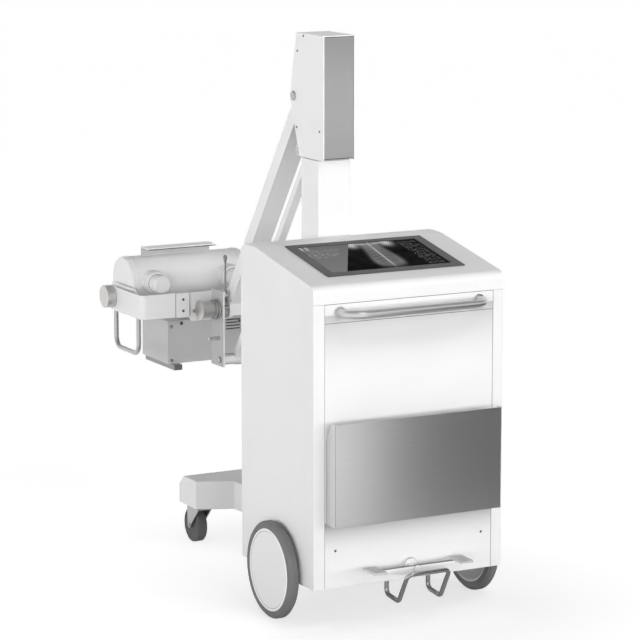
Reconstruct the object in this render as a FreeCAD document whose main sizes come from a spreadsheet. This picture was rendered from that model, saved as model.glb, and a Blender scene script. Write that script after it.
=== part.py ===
import FreeCAD, Part
import os
from math import atan2, cos, degrees, radians, sin, sqrt, tan

import Sketcher
from FreeCAD import Placement, Rotation, Vector

# Mobile x-ray machine, in millimetres.
# X is the operator's right, Y runs from the operator towards the tube head, Z is up from the floor.
# The origin is on the floor, in the middle of the machine's footprint in the transport position.

DRIVING_SIZES = (
    # Cabinet
    ("cabinet_width", 560, "width over the side panels"),
    ("cabinet_depth", 410, "depth from the front face to the back wall"),
    ("ride_height", 112, "underside of the cabinet above the floor"),
    ("front_height", 785, "front top corner above the underside"),
    ("crest_rise", 62.5, "start of the flat crest above the front top corner"),
    ("crest_depth", 326, "start of the flat crest behind the front face"),
    ("back_rise", 2, "back top corner above the start of the crest, before rounding"),
    ("front_edge_radius", 25, "rounding of the front top edge"),
    ("crest_radius", 150, "rounding between the slope and the crest"),
    ("back_edge_radius", 30, "rounding of the back top edge"),
    ("sheet", 2, "thickness of the cabinet's sheet steel"),
    ("seam_drop", 44.3, "lower edge of the console cover below the front top corner"),
    ("back_seam_drop", 50, "how far the console cover reaches down the back"),
    ("seam_gap", 0.6, "gap between neighbouring panels"),
    ("panel_half_width", 248, "half the width of the front opening"),
    ("fascia_height", 49, "height of the strip that carries the push handle"),
    ("panel_return", 15, "depth of the folded edges of the front panels"),
    ("vent_slot_length", 150, "length of one slot in the back wall"),
    ("vent_slot_height", 5, "height of one slot in the back wall"),
    ("vent_pitch", 14, "spacing of the slots in the back wall"),
    ("vent_rise", 560, "lowest slot above the underside"),
    # Frame, axle and rear wheels
    ("frame_height", 42, "height of the welded base frame"),
    ("frame_rail", 40, "width of the base frame's members"),
    ("frame_gap", 2, "gap between the base frame and the side panels"),
    ("axle_radius", 10, "rear axle"),
    ("axle_depth", 188.2, "rear axle behind the cabinet's front face"),
    ("running_gap", 0.05, "radial clearance of a running fit"),
    ("touch_gap", 0.3, "clearance between parts that pass each other"),
    ("axle_rise", 16.4, "rear axle above the cabinet's underside"),
    ("rear_wheel_width", 28.8, "rear tyre"),
    ("rear_wheel_outside", 315.7, "outer face of a rear wheel from the centre plane"),
    ("tyre_depth", 19.2, "tyre, from the wheel disc to the tread"),
    ("tyre_shoulder", 7, "bevel of the tyre's shoulders"),
    ("disc_dish", 9, "depth of the hollow on the inner face of a wheel disc"),
    ("disc_hub_radius", 26, "boss in the middle of a wheel disc"),
    ("disc_face", 4, "thickness of the closed outer face of a wheel disc"),
    ("disc_lip", 1.6, "height and width of the raised ring on a wheel disc"),
    # Console monitor
    ("monitor_half_width", 202.5, "half the width of the monitor frame"),
    ("monitor_front", 68, "front edge of the monitor behind the cabinet's front"),
    ("monitor_back", 308, "back edge of the monitor behind the cabinet's front"),
    ("monitor_proud", 3, "height of the monitor frame above the console"),
    ("monitor_side_border", 26.5, "width of the monitor frame at the sides"),
    ("monitor_near_border", 24, "width of the monitor frame at the front"),
    ("monitor_far_border", 18, "width of the monitor frame at the back"),
    ("monitor_case_depth", 40, "depth of the monitor's case under the console"),
    ("monitor_case_inset", 12, "how far the case stands in from the frame's edge"),
    ("display_recess", 2, "display below the face of the frame"),
    ("display_thickness", 3, "display glass"),
    ("monitor_corner", 6, "corner rounding of the monitor frame"),
    # Push handle
    ("handle_half_span", 205, "half the distance between the handle's feet"),
    ("handle_drop", 22.2, "axis of the handle below the console cover's lower edge"),
    ("handle_reach", 60, "axis of the handle's bar in front of the cabinet"),
    ("handle_radius", 11, "handle tube"),
    ("handle_bend", 46, "bend of the handle tube"),
    ("handle_wall", 2, "wall of the handle tube"),
    ("flange_radius", 15.5, "round foot of the handle"),
    ("flange_thickness", 3, "round foot of the handle"),
    # Detector pocket
    ("pocket_half_width", 245, "half the width of the detector pocket"),
    ("pocket_depth", 52, "depth of the detector pocket"),
    ("pocket_bottom", 172, "pocket's underside above the cabinet's underside"),
    ("pocket_front_top", 440, "top of the pocket's front plate above the underside"),
    ("pocket_back_top", 390, "top of the pocket's back plate above the underside"),
    ("pocket_lip", 17, "level part of the side wall's top edge"),
    ("pocket_sheet", 2, "thickness of the pocket's steel"),
    # Tip bar and brake pedal
    ("tip_bar_half_width", 62, "half the width of the tip bar"),
    ("tip_bar_radius", 6, "tip bar's steel rod"),
    ("tip_bar_reach", 104, "front of the tip bar before the cabinet's front"),
    ("tip_bar_rise", 40, "front of the tip bar above the cabinet's underside"),
    ("tip_bar_drop", 41, "lowest point of the tip bar below the cabinet's underside"),
    ("tip_bar_foot", 7, "where the rod leaves the underside, behind the front face"),
    ("tip_bar_knee", 58, "knee of the tip bar before the cabinet's front"),
    ("tip_bar_bend", 16, "bends of the tip bar"),
    ("pedal_height", 35, "pivot of the brake pedal above the underside"),
    ("pedal_shaft_radius", 8, "shaft of the brake pedal"),
    ("pedal_shaft_depth", 34, "how far the shaft reaches into the base frame"),
    ("pedal_bar_front", 45, "front of the pedal bar before the cabinet's front"),
    ("pedal_bar_thickness", 14, "pedal bar, front to back"),
    ("pedal_half_length", 112, "half the length of the pedal bar"),
    ("pedal_bar_top", 8, "top of the pedal bar above its pivot"),
    ("pedal_bar_drop", 15, "middle of the pedal bar below its pivot"),
    ("pedal_bar_tip", 7, "depth of the pedal bar at its ends"),
    ("pedal_disc_radius", 10, "round end of the shaft on the pedal bar"),
    ("pad_length", 36, "pedal pad, along the bar"),
    ("pad_depth", 65, "pedal pad, front to back"),
    ("pad_thickness", 7, "pedal pad"),
    ("pad_centre", 128, "middle of a pad from the pivot"),
    ("pad_front", 84, "front edge of a pad before the cabinet's front"),
    ("pad_rib", 3, "height and half the pitch of the ribs on a pad"),
    ("boss_radius", 21, "bearing boss of the pedal on the front panel"),
    ("boss_length", 12, "bearing boss before the front panel"),
    # Leg, crossbar and casters
    ("leg_half_width", 66, "half the width of the front leg"),
    ("foot_bottom", -2, "underside of leg and crossbar above the cabinet's underside"),
    ("foot_top", 80, "top of leg and crossbar above the cabinet's underside"),
    ("foot_wall", 5, "wall of leg and crossbar"),
    ("crossbar_half_length", 165, "half the length of the crossbar"),
    ("crossbar_near", 482, "near face of the crossbar at the leg, behind the back wall"),
    ("crossbar_end_near", 527, "near corner of the crossbar's end, behind the back wall"),
    ("crossbar_far", 639, "far face of the crossbar behind the back wall"),
    ("crossbar_bevel_depth", 30, "bevel on the far top edge, front to back"),
    ("crossbar_bevel_height", 28, "bevel on the far top edge, height"),
    ("caster_side", 134, "swivel axis of a caster from the centre plane"),
    ("caster_depth", 568, "swivel axis of a caster behind the back wall"),
    ("caster_clearance", 6, "gap between a caster wheel and the top of its fork"),
    ("caster_width", 30, "caster wheel"),
    ("caster_trail", 26, "caster axle behind its swivel axis"),
    ("caster_stem_radius", 8, "caster stem"),
    ("caster_stem_length", 60, "stem inside the crossbar"),
    ("caster_boss_radius", 18, "stem housing in the crossbar"),
    ("caster_plate", 4, "thickness of the caster fork"),
    ("caster_fork_gap", 2.5, "gap between caster wheel and fork"),
    ("caster_fork_front", 34, "front corner of the fork before the swivel axis"),
    ("caster_fork_back", 38, "back corner of the fork behind the swivel axis"),
    ("caster_axle_radius", 5, "caster axle"),
    ("caster_fork_drop", 9, "radius of the fork's lower end"),
    ("caster_groove", 2, "groove beside the caster's tread"),
    # Column and head
    ("column_half_width", 49, "half the width of the square column"),
    ("column_depth", 98, "column, front to back"),
    ("column_wall", 4, "wall of the column"),
    ("column_top", 1049, "top of the column above the cabinet's underside"),
    ("head_half_width", 48, "outside of the head's side covers from the centre plane"),
    ("head_overlap", 27, "front edge of the side covers before the cabinet's back wall"),
    ("head_gap", 2, "bottom of the side covers above the column's top"),
    ("head_height", 331, "height of the side covers"),
    ("head_top_back", 128, "back top corner of the side covers behind the back wall"),
    ("head_nose_back", 165, "furthest corner of the side covers behind the back wall"),
    ("head_nose_rise", 159, "height of that corner above the covers' bottom"),
    ("head_bottom_back", 111, "back bottom corner of the side covers behind the back wall"),
    ("cover_sheet", 3, "thickness of the head covers"),
    ("cover_inset", 4, "front cover behind the edges of the side covers"),
    ("cheek_inside", 36, "inner face of the head frame's cheeks from the centre plane"),
    ("cheek_thickness", 9, "cheeks of the head frame"),
    ("cheek_margin", 10, "cheeks inside the outline of the covers"),
    ("cap_plate", 8, "plate on top of the column"),
    ("pivot_radius", 12, "main pivot pin"),
    ("pivot_head_radius", 13.5, "round head of the main pivot pin"),
    ("pivot_head_height", 5, "round head of the main pivot pin"),
    ("link_pin_radius", 8, "pin of the link bar"),
    ("pivot_boss_radius", 20, "boss of the head frame round the main pivot"),
    ("lug_radius", 16, "rounded ends round the pivot pins"),
    ("screw_radius", 3.5, "heads of the cover screws"),
    ("screw_height", 1.2, "heads of the cover screws"),
    ("screw_inset", 14, "cover screws from the edges of the covers"),
    ("panel_screw_side", 217, "front panel's screws from the centre plane"),
    ("panel_screw_rise", 98.6, "front panel's screws above the underside"),
    ("spring_radius", 30, "cartridge of the balance spring in the column"),
    ("spring_length", 420, "cartridge of the balance spring in the column"),
    ("spring_rod_radius", 7, "rod of the balance spring"),
    ("spring_rod", 160, "rod between the cartridge and the cap plate"),
    ("spring_eye", 22, "eye between rod and cap plate"),
    # Arm and link
    ("pivot_depth", 143, "main pivot behind the cabinet's back wall"),
    ("pivot_rise", 160, "main pivot above the bottom of the head"),
    ("arm_length", 801.6, "main pivot to the pivot of the fork bracket"),
    ("arm_angle", 35.45, "arm from the vertical in the transport position"),
    ("arm_half_width", 30, "half the width of the arm"),
    ("arm_half_thickness", 20, "half the thickness of the arm"),
    ("arm_wall", 3, "wall of the arm"),
    ("arm_eye_radius", 24, "rounded upper end of the arm"),
    ("block_front", 35, "end block before its pivot"),
    ("block_gap", 1, "clearance of the turning end block at the clamp plates"),
    ("block_half_height", 17, "half the height of the end block"),
    ("link_back", 18, "link bar's pivots before the arm's pivots"),
    ("link_drop", 145, "link bar's pivots below the arm's pivots"),
    ("link_half_width", 12, "half the width of the link bar"),
    ("link_half_thickness", 11, "half the thickness of the link bar"),
    # Fork bracket and fork
    ("bracket_side", 55, "outer face of the fork bracket's plate from the centre plane"),
    ("bracket_plate", 5, "thickness of the fork bracket"),
    ("bracket_front", 40, "front edge of the plate before the arm's pivot"),
    ("bracket_face", 39.5, "back face of the bracket behind the arm's pivot"),
    ("bracket_top", 55, "top of the plate above the arm's pivot"),
    ("bracket_bottom", 165, "bottom of the plate below the arm's pivot"),
    ("wing_half_width", 72, "half the width of the bracket's cross wing"),
    ("wing_top", 48, "top of the wing above the arm's pivot"),
    ("wing_bottom", 36, "bottom of the wing below the arm's pivot"),
    ("wing_corner", 14, "rounded lower corners of the wing"),
    ("friction_disc_radius", 33, "friction disc between arm and bracket"),
    ("spindle_radius", 9, "spindle of the fork bracket"),
    ("spindle_head_radius", 14, "nut on the spindle"),
    ("spindle_head", 6, "nut on the spindle"),
    ("rod_head_radius", 10, "round head of the link rod"),
    ("rod_head", 6, "round head of the link rod"),
    ("rod_boss_radius", 16, "boss round the link rod"),
    ("fork_half_width", 219, "outside of the fork from the middle of the tube"),
    ("fork_height", 70, "height of the fork's band"),
    ("fork_rise", 13, "middle of the fork's band above the arm's pivot"),
    ("fork_sheet", 4, "thickness of the fork's band"),
    ("fork_corner", 18, "rounded corners of the fork"),
    ("fork_end_reach", 35, "end of the fork's arms behind the tilt axis"),
    ("clamp_width", 39, "clamp plate between bracket and fork"),
    ("clamp_plate", 9, "thickness of the clamp plate"),
    ("clamp_screw_radius", 4, "holes of the clamp screws"),
    ("clamp_screw_pitch", 33, "distance between the two clamp screws"),
    # Knobs and levers on the bracket and fork
    ("lock_knob_radius", 24, "grip of the lock knob"),
    ("lock_knob_face_radius", 28.5, "outer rim of the lock knob"),
    ("lock_knob_length", 48, "lock knob from its collar to its face"),
    ("lock_collar_radius", 26, "collar of the lock knob"),
    ("lock_collar", 9, "collar of the lock knob"),
    ("knob_seat", 16, "how far the threaded ends reach into the big knobs"),
    ("tilt_knob_radius", 33, "tilt knob"),
    ("tilt_knob_length", 27, "tilt knob"),
    ("plunger_radius", 6, "index plunger"),
    ("plunger_length", 32, "index plunger outside the plate"),
    ("plunger_front", 12, "index plunger before the arm's pivot"),
    ("plunger_drop", 82, "index plunger below the arm's pivot"),
    ("plunger_travel", 8, "index plunger's pull"),
    ("lever_side", 42, "release lever from the centre plane"),
    ("lever_front", 29, "release lever before the arm's pivot"),
    ("lever_base", 50, "lever's pivot above the arm's pivot"),
    ("lever_length", 109, "release lever from its pivot to its tip"),
    ("lever_radius", 2.5, "release lever's rod"),
    ("lever_eye_radius", 4, "eye of the release lever"),
    ("lever_pin_radius", 1.5, "pin of the release lever"),
    ("lever_grip_radius", 6, "release lever's drop-shaped grip"),
    ("lever_grip", 27, "length of the grip"),
    # Tube head
    ("tube_side", 55, "middle of the tube housing left of the centre plane"),
    ("tilt_depth", 242, "tilt axis behind the arm's lower pivot"),
    ("tilt_rise", 19, "tilt axis above the arm's lower pivot"),
    ("tube_rise", 41, "tube's axis above the tilt axis"),
    ("tube_radius", 70.5, "tube housing"),
    ("tube_half_length", 188, "half the length of the tube housing over its caps"),
    ("tube_wall", 5, "wall of the tube housing"),
    ("tube_cap", 14, "end caps of the tube housing"),
    ("tube_cap_edge", 5, "rounded edge of an end cap"),
    ("tube_band", 10, "raised band beside an end cap"),
    ("tube_band_step", 1.5, "height of that band"),
    ("port_side", 122, "a high-voltage port from the middle of the tube"),
    ("port_rise", 3, "ports above the tube's axis"),
    ("port_base_radius", 34, "port's base ring"),
    ("port_base_reach", 88, "face of the base ring before the tube's axis"),
    ("port_cap_radius", 26, "port's cap"),
    ("port_reach", 138, "face of the cap before the tube's axis"),
    ("port_lip", 3, "lip round the cap's face"),
    ("top_rail_left", 131, "left end of the top bracket from the middle of the tube"),
    ("top_rail_right", 89, "right end of the top bracket from the middle of the tube"),
    ("top_rail_back", 10, "web of the top bracket before the tube's axis"),
    ("top_rail_height", 98, "top of the bracket above the tube's axis"),
    ("top_rail_width", 53, "flange of the top bracket"),
    ("top_rail_sheet", 3, "sheet of the top bracket"),
    ("top_rail_point", 21, "pointed right end of the flange"),
    ("carrier_side", 201.5, "outer face of the carrier's side plates from the tube's middle"),
    ("carrier_plate", 5, "thickness of the carrier"),
    ("carrier_front", 150, "front of the side plates before the tilt axis"),
    ("carrier_back", 40, "back of the side plates behind the tilt axis"),
    ("carrier_top", 35, "top of the side plates above the tilt axis"),
    ("carrier_bottom", 46, "bottom of the side plates below the tilt axis"),
    ("carrier_step", 118, "where the side plates' top edge starts to drop"),
    ("carrier_low_top", 14, "front top corner of the side plates below the tilt axis"),
    ("saddle_depth", 100, "plate under the tube, front to back"),
    ("saddle_plate", 8, "plate under the tube"),
    ("cradle_half_length", 60, "half the length of the cradle that the tube lies in"),
    ("cradle_half_depth", 34, "half the depth of that cradle"),
    ("cradle_height", 9, "height of that cradle"),
    ("trunnion_radius", 10, "pins that carry the tube head in the fork"),
    ("trunnion_collar", 15, "collars of those pins"),
    ("grip_radius", 7, "tube of the U-shaped grip"),
    ("grip_front", 138, "front leg of the grip before the tilt axis"),
    ("grip_back", 19, "back leg of the grip behind the tilt axis"),
    ("grip_drop", 151, "lower bar of the grip below the tilt axis"),
    ("grip_bend", 30, "bends of the grip"),
    ("neck_radius", 46, "swivel between saddle and collimator"),
    ("spigot_radius", 30, "collimator's spigot in that swivel"),
    ("spigot_length", 24, "collimator's spigot"),
    # Collimator
    ("collimator_side", 36, "collimator's axis right of the tube's middle"),
    ("collimator_half_width", 120, "half the width of the collimator"),
    ("collimator_half_depth", 89, "half the collimator, front to back"),
    ("collimator_top", 73, "top of the collimator below the tilt axis"),
    ("collimator_height", 126, "height of the collimator's housing"),
    ("collimator_wall", 3, "wall of the collimator"),
    ("window_half", 60, "half the side of the beam window"),
    ("rail_width", 26, "accessory rails"),
    ("rail_inset", 9, "accessory rails inside the long edges of the housing"),
    ("rail_height", 16, "accessory rails"),
    ("rail_groove", 4, "groove of the accessory rails"),
    ("rail_stop", 12, "closed front end of the rails' grooves"),
    ("rail_over", 22, "how far the rails stand out before the housing"),
    ("grille_left", 67, "left end of the cooling slots from the collimator's axis"),
    ("grille_right", 114, "right end of the cooling slots"),
    ("grille_slot", 4, "height of a cooling slot"),
    ("grille_pitch", 9, "spacing of the cooling slots"),
    ("knob_radius", 16, "collimator knobs"),
    ("knob_length", 14, "collimator knobs"),
    ("knob_side", 62, "collimator knobs from the collimator's axis"),
    ("knob_drop", 62, "collimator knobs below the collimator's top"),
    ("button_radius", 7, "lamp button"),
    ("button_length", 4, "lamp button"),
    ("button_travel", 2, "lamp button's travel"),
    # Inside the cabinet
    ("battery_side_gap", 40, "battery pack and generator inside the cabinet's sides"),
    ("battery_depth", 140, "battery pack"),
    ("battery_height", 170, "battery pack"),
    ("battery_front", 60, "battery pack behind the cabinet's front"),
    ("generator_gap", 30, "high-voltage generator before the cabinet's back"),
    ("generator_height", 330, "high-voltage generator"),
    ("inlet_side", 190, "mains inlet left of the centre plane"),
    ("inlet_rise", 150, "mains inlet above the cabinet's underside"),
    ("inlet_width", 50, "mains inlet"),
    ("inlet_height", 30, "mains inlet"),
)

doc = FreeCAD.newDocument("mobile_xray_machine")
sheet = doc.addObject("Spreadsheet::Sheet", "Sizes")
for row, (alias, number, meaning) in enumerate(DRIVING_SIZES, start=1):
    sheet.set(f"A{row}", meaning)
    sheet.set(f"B{row}", str(number))
    sheet.setAlias(f"B{row}", alias)
doc.recompute()


class Size:
    """A length or angle that knows both its number and the sheet formula behind it."""

    def __init__(self, number, formula):
        self.number = float(number)
        self.formula = formula

    def __add__(self, other):
        other = size(other)
        return Size(self.number + other.number, f"({self.formula} + {other.formula})")

    def __radd__(self, other):
        return size(other) + self

    def __sub__(self, other):
        other = size(other)
        return Size(self.number - other.number, f"({self.formula} - {other.formula})")

    def __rsub__(self, other):
        return size(other) - self

    def __mul__(self, other):
        other = size(other)
        return Size(self.number * other.number, f"({self.formula} * {other.formula})")

    def __rmul__(self, other):
        return size(other) * self

    def __truediv__(self, other):
        other = size(other)
        return Size(self.number / other.number, f"({self.formula} / {other.formula})")

    def __neg__(self):
        return Size(-self.number, f"(-{self.formula})")

    def __float__(self):
        return self.number


class SheetSizes:
    """Gives each cell of the sheet as a Size, by its alias."""

    def __getattr__(self, alias):
        return Size(sheet.get(alias), f"Sizes.{alias}")


def size(number):
    """A Size stays as it is; a plain number becomes one."""
    return number if isinstance(number, Size) else Size(number, f"({number})")


def sine(angle):
    return Size(sin(radians(angle.number)), f"sin({angle.formula} * 1deg)")


def cosine(angle):
    return Size(cos(radians(angle.number)), f"cos({angle.formula} * 1deg)")


def tangent(angle):
    return Size(tan(radians(angle.number)), f"tan({angle.formula} * 1deg)")


def leg_of_triangle(longest, other):
    formula = f"sqrt({longest.formula} ^ 2 - {other.formula} ^ 2)"
    return Size(sqrt(longest.number ** 2 - other.number ** 2), formula)


def slope_angle(rise, run):
    return Size(degrees(atan2(rise.number, run.number)), f"(atan({rise.formula} / {run.formula}) / 1deg)")


S = SheetSizes()
ORIGIN = Vector(0, 0, 0)
AXES = {"x": Vector(1, 0, 0), "y": Vector(0, 1, 0), "z": Vector(0, 0, 1)}
LIFTED_TO = {
    "x": Rotation(AXES["y"], 90),
    "y": Rotation(AXES["x"], -90),
    "z": Rotation(),
}
TURNED_TO = {
    "x": Rotation(),
    "y": Rotation(AXES["z"], 90),
    "z": Rotation(AXES["y"], -90),
}
PLANES = {"x": "YZ_Plane", "y": "XZ_Plane", "z": "XY_Plane"}
sub_parts = []


def bind(item, **sizes):
    """Ties properties of an item to formulas of the sheet."""
    for name, value in sizes.items():
        item.setExpression(name, size(value).formula)


def place(item, x=0, y=0, z=0, rotation=None):
    """Puts an item at a place given by formulas of the sheet."""
    x, y, z = size(x), size(y), size(z)
    item.Placement = Placement(Vector(x.number, y.number, z.number), rotation or Rotation())
    for name, value in (("x", x), ("y", y), ("z", z)):
        item.setExpression(f"Placement.Base.{name}", value.formula)
    return item


def spare_name(kind):
    return f"{kind}_{len(doc.Objects)}"


def box(x, y, z):
    """A box between two faces in each direction: x, y and z are pairs."""
    item = doc.addObject("Part::Box", spare_name("block"))
    bind(item, Length=x[1] - x[0], Width=y[1] - y[0], Height=z[1] - z[0])
    return place(item, x[0], y[0], z[0])


def span(middle, half):
    return (middle - half, middle + half)


def cylinder(axis, centre, radius, start, end):
    """A cylinder along an axis; centre holds its two other coordinates in X, Y, Z order."""
    item = doc.addObject("Part::Cylinder", spare_name("round"))
    bind(item, Radius=radius, Height=end - start)
    spot = {"x": (start, *centre), "y": (centre[0], start, centre[1]), "z": (*centre, start)}[axis]
    return place(item, *spot, rotation=LIFTED_TO[axis])


def fuse(*items):
    if len(items) == 1:
        return items[0]
    item = doc.addObject("Part::MultiFuse", spare_name("joined"))
    item.Shapes = list(items)
    return item


def cut(base, *tools):
    item = doc.addObject("Part::Cut", spare_name("trimmed"))
    item.Base = base
    item.Tool = fuse(*tools)
    return item


def common(first, second):
    item = doc.addObject("Part::Common", spare_name("shared"))
    item.Base = first
    item.Tool = second
    return item


def group(*items):
    """Separate solids that share one node."""
    item = doc.addObject("Part::Compound", spare_name("set"))
    item.Links = list(items)
    return item


def mirrored(item):
    """The same piece on the other side of the centre plane."""
    twin = doc.addObject("Part::Mirroring", spare_name("mirror"))
    twin.Source = item
    twin.Normal = AXES["x"]
    return twin


def sub_part(label, item):
    """Names a finished piece; its label is also its file name."""
    item.Label = label
    sub_parts.append(item)
    return item


def outline(sketch, corners):
    """A closed straight-sided outline, each corner tied to the sheet."""
    corners = [(size(across), size(up)) for across, up in corners]
    count = len(corners)
    for index, (across, up) in enumerate(corners):
        next_across, next_up = corners[(index + 1) % count]
        start = Vector(across.number, up.number, 0)
        end = Vector(next_across.number, next_up.number, 0)
        sketch.addGeometry(Part.LineSegment(start, end))
    for index in range(count):
        sketch.addConstraint(Sketcher.Constraint("Coincident", index, 2, (index + 1) % count, 1))
    for index, (across, up) in enumerate(corners):
        for kind, value in (("DistanceX", across), ("DistanceY", up)):
            number = sketch.addConstraint(Sketcher.Constraint(kind, -1, 1, index, 1, value.number))
            sketch.setExpression(f"Constraints[{number}]", value.formula)


def new_sketch(body, axis):
    """A sketch on the body's own origin plane across the given axis."""
    sketch = body.newObject("Sketcher::SketchObject", spare_name("outline"))
    plane = next(item for item in body.Origin.OriginFeatures if item.Role == PLANES[axis])
    sketch.AttachmentSupport = [(plane, "")]
    sketch.MapMode = "FlatFace"
    return sketch


def prism(axis, corners, reach, rounded=()):
    """An outline across an axis, padded over reach, with rounded edges along that axis.

    rounded holds pairs of a corner's index and its radius.
    """
    body = doc.addObject("PartDesign::Body", spare_name("body"))
    sketch = new_sketch(body, axis)
    outline(sketch, corners)
    pad = body.newObject("PartDesign::Pad", spare_name("pad"))
    pad.Profile = sketch
    pad.Reversed = axis == "y"
    bind(pad, Length=reach[1] - reach[0])
    place(body, **{axis: reach[0]})
    sketch.Visibility = False
    if rounded:
        doc.recompute()
        for corner, radius in rounded:
            round_corner(body, axis, corners[corner], radius)
    return body


def round_corner(body, axis, corner, radius):
    """Rounds the one edge along the axis that stands on a corner of the outline."""
    others = [index for index in range(3) if "xyz"[index] != axis]
    shape = body.Tip.Shape.copy()
    shape.Placement = Placement()
    names = []
    for index, edge in enumerate(body.Tip.Shape.Edges, start=1):
        first, last = edge.Vertexes[0].Point, edge.Vertexes[-1].Point
        offsets = [abs(point[k] - size(value).number)
                   for point in (first, last) for k, value in zip(others, corner)]
        if max(offsets) < 0.01 and len(edge.Vertexes) == 2:
            names.append(f"Edge{index}")
    fillet = body.newObject("PartDesign::Fillet", spare_name("fillet"))
    fillet.Base = (body.Tip if body.Tip != fillet else fillet.BaseFeature, names)
    bind(fillet, Radius=radius)
    doc.recompute()


def turned(axis, profile, x=0, y=0, z=0):
    """A solid of revolution: profile holds pairs of a place along the axis and a radius."""
    body = doc.addObject("PartDesign::Body", spare_name("body"))
    sketch = new_sketch(body, "z")
    outline(sketch, profile)
    revolution = body.newObject("PartDesign::Revolution", spare_name("turning"))
    revolution.Profile = sketch
    revolution.ReferenceAxis = (sketch, ["H_Axis"])
    revolution.Angle = 360
    place(body, x, y, z, rotation=TURNED_TO[axis])
    sketch.Visibility = False
    return body


def ring_profile(start, end, inner, outer):
    return [(start, inner), (end, inner), (end, outer), (start, outer)]


def numbers(point):
    return Vector(*[size(value).number for value in point])


def bent_path(points, bend):
    """Straight runs through the points, joined by tangent arcs of one radius."""
    points = [numbers(point) for point in points]
    radius = size(bend).number
    edges = []
    here = points[0]
    for before, corner, after in zip(points, points[1:], points[2:]):
        back = (before - corner).normalize()
        ahead = (after - corner).normalize()
        half = back.getAngle(ahead) / 2
        setback = radius / tan(half)
        arc_start = corner + back * setback
        arc_end = corner + ahead * setback
        middle = corner + (back + ahead).normalize() * (radius / sin(half) - radius)
        edges.append(Part.LineSegment(here, arc_start).toShape())
        edges.append(Part.Arc(arc_start, middle, arc_end).toShape())
        here = arc_end
    edges.append(Part.LineSegment(here, points[-1]).toShape())
    return Part.Wire(edges)


def bent_tube(points, bend, radius, bore=None):
    """A round bar or tube that follows a bent path."""
    path = bent_path(points, bend)
    start = path.Edges[0].Vertexes[0].Point
    direction = path.Edges[0].tangentAt(path.Edges[0].FirstParameter)

    def swept(section_radius):
        section = Part.Wire(Part.makeCircle(section_radius, start, direction))
        return path.makePipeShell([section], True, False)

    shape = swept(size(radius).number)
    if bore is not None:
        shape = shape.cut(swept(size(bore).number))
    item = doc.addObject("Part::Feature", spare_name("tube"))
    item.Shape = shape
    item.Placement = Placement()
    return item


# Places that several pieces share
front_reach = S.tip_bar_reach + S.tip_bar_radius
arm_run = S.arm_length * sine(S.arm_angle)
arm_fall = S.arm_length * cosine(S.arm_angle)
back_reach = (S.cabinet_depth + S.pivot_depth + arm_run + S.tilt_depth + S.collimator_half_depth
              + S.touch_gap + S.knob_length)
front = (front_reach - back_reach) / 2
under = S.ride_height
back = front + S.cabinet_depth
half_width = S.cabinet_width / 2

axle_y = front + S.axle_depth
rear_wheel_radius = S.ride_height + S.axle_rise
tyre_seat_radius = rear_wheel_radius - S.tyre_depth
axle_z = rear_wheel_radius
wheel_inside = S.rear_wheel_outside - S.rear_wheel_width
caster_radius = (under + S.foot_bottom - S.caster_plate - S.caster_clearance) / 2

pivot_y = back + S.pivot_depth
head_bottom_z = under + S.column_top + S.head_gap
head_top_z = head_bottom_z + S.head_height
pivot_z = head_bottom_z + S.pivot_rise
elbow_y = pivot_y + arm_run
elbow_z = pivot_z - arm_fall
link_top_y = pivot_y - S.link_back
link_top_z = pivot_z - S.link_drop
link_low_y = elbow_y - S.link_back
link_low_z = elbow_z - S.link_drop

tilt_y = elbow_y + S.tilt_depth
tilt_z = elbow_z + S.tilt_rise
tube_x = -S.tube_side
tube_z = tilt_z + S.tube_rise
beam_x = tube_x + S.collimator_side
collimator_top_z = tilt_z - S.collimator_top
collimator_bottom_z = collimator_top_z - S.collimator_height
collimator_front = tilt_y - S.collimator_half_depth
collimator_back = tilt_y + S.collimator_half_depth


# Cabinet
console_slope = S.crest_rise / S.crest_depth
slope = slope_angle(S.crest_rise, S.crest_depth)
crest_height = S.front_height + S.crest_rise
back_height = crest_height + S.back_rise
skin = S.sheet / cosine(slope)


def cabinet_outline(inset, top_drop, bottom):
    """Side view of the cabinet; inset moves it in from front and back, top_drop from the top."""
    return [
        (front + inset, bottom),
        (front + inset, under + S.front_height + console_slope * inset - top_drop),
        (front + S.crest_depth, under + crest_height - top_drop),
        (back - inset, under + back_height - top_drop),
        (back - inset, bottom),
    ]


def cabinet_roundings(less):
    return [(1, S.front_edge_radius - less), (2, S.crest_radius), (3, S.back_edge_radius - less)]


def cabinet_prism(inset, top_drop, bottom, half):
    return prism("x", cabinet_outline(inset, top_drop, bottom), (-half, half), cabinet_roundings(inset))


front_seam_z = under + S.front_height - S.seam_drop
back_seam_z = under + back_height - S.back_seam_drop


def make_console_top():
    """Folded cover over the whole width: front strip, slope, crest and the top of the back."""
    outside = cabinet_prism(size(0), size(0), under, half_width)
    inside = cabinet_prism(S.sheet, skin, under, half_width + S.sheet)
    below_front = box((-half_width - S.sheet, half_width + S.sheet),
                      (front - S.sheet, front + S.crest_depth), (size(0), front_seam_z))
    below_back = box((-half_width - S.sheet, half_width + S.sheet),
                     (front + S.crest_depth, back + S.sheet), (size(0), back_seam_z))
    inset = S.monitor_case_inset - S.seam_gap
    well = monitor_block(S.monitor_half_width - inset, inset, inset,
                         -S.monitor_case_depth, S.monitor_case_depth)
    return cut(outside, inside, below_front, below_back, well)


def monitor_block(half, near_inset, far_inset, low, high):
    """A block square to the sloping console, between two heights above its face."""
    def corner(depth, height):
        across = front + depth - height * sine(slope)
        up = under + S.front_height + console_slope * depth + height * cosine(slope)
        return (across, up)

    near = S.monitor_front + near_inset
    far = S.monitor_back - far_inset
    corners = [corner(near, low), corner(near, high), corner(far, high), corner(far, low)]
    return prism("x", corners, (-half, half))


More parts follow.
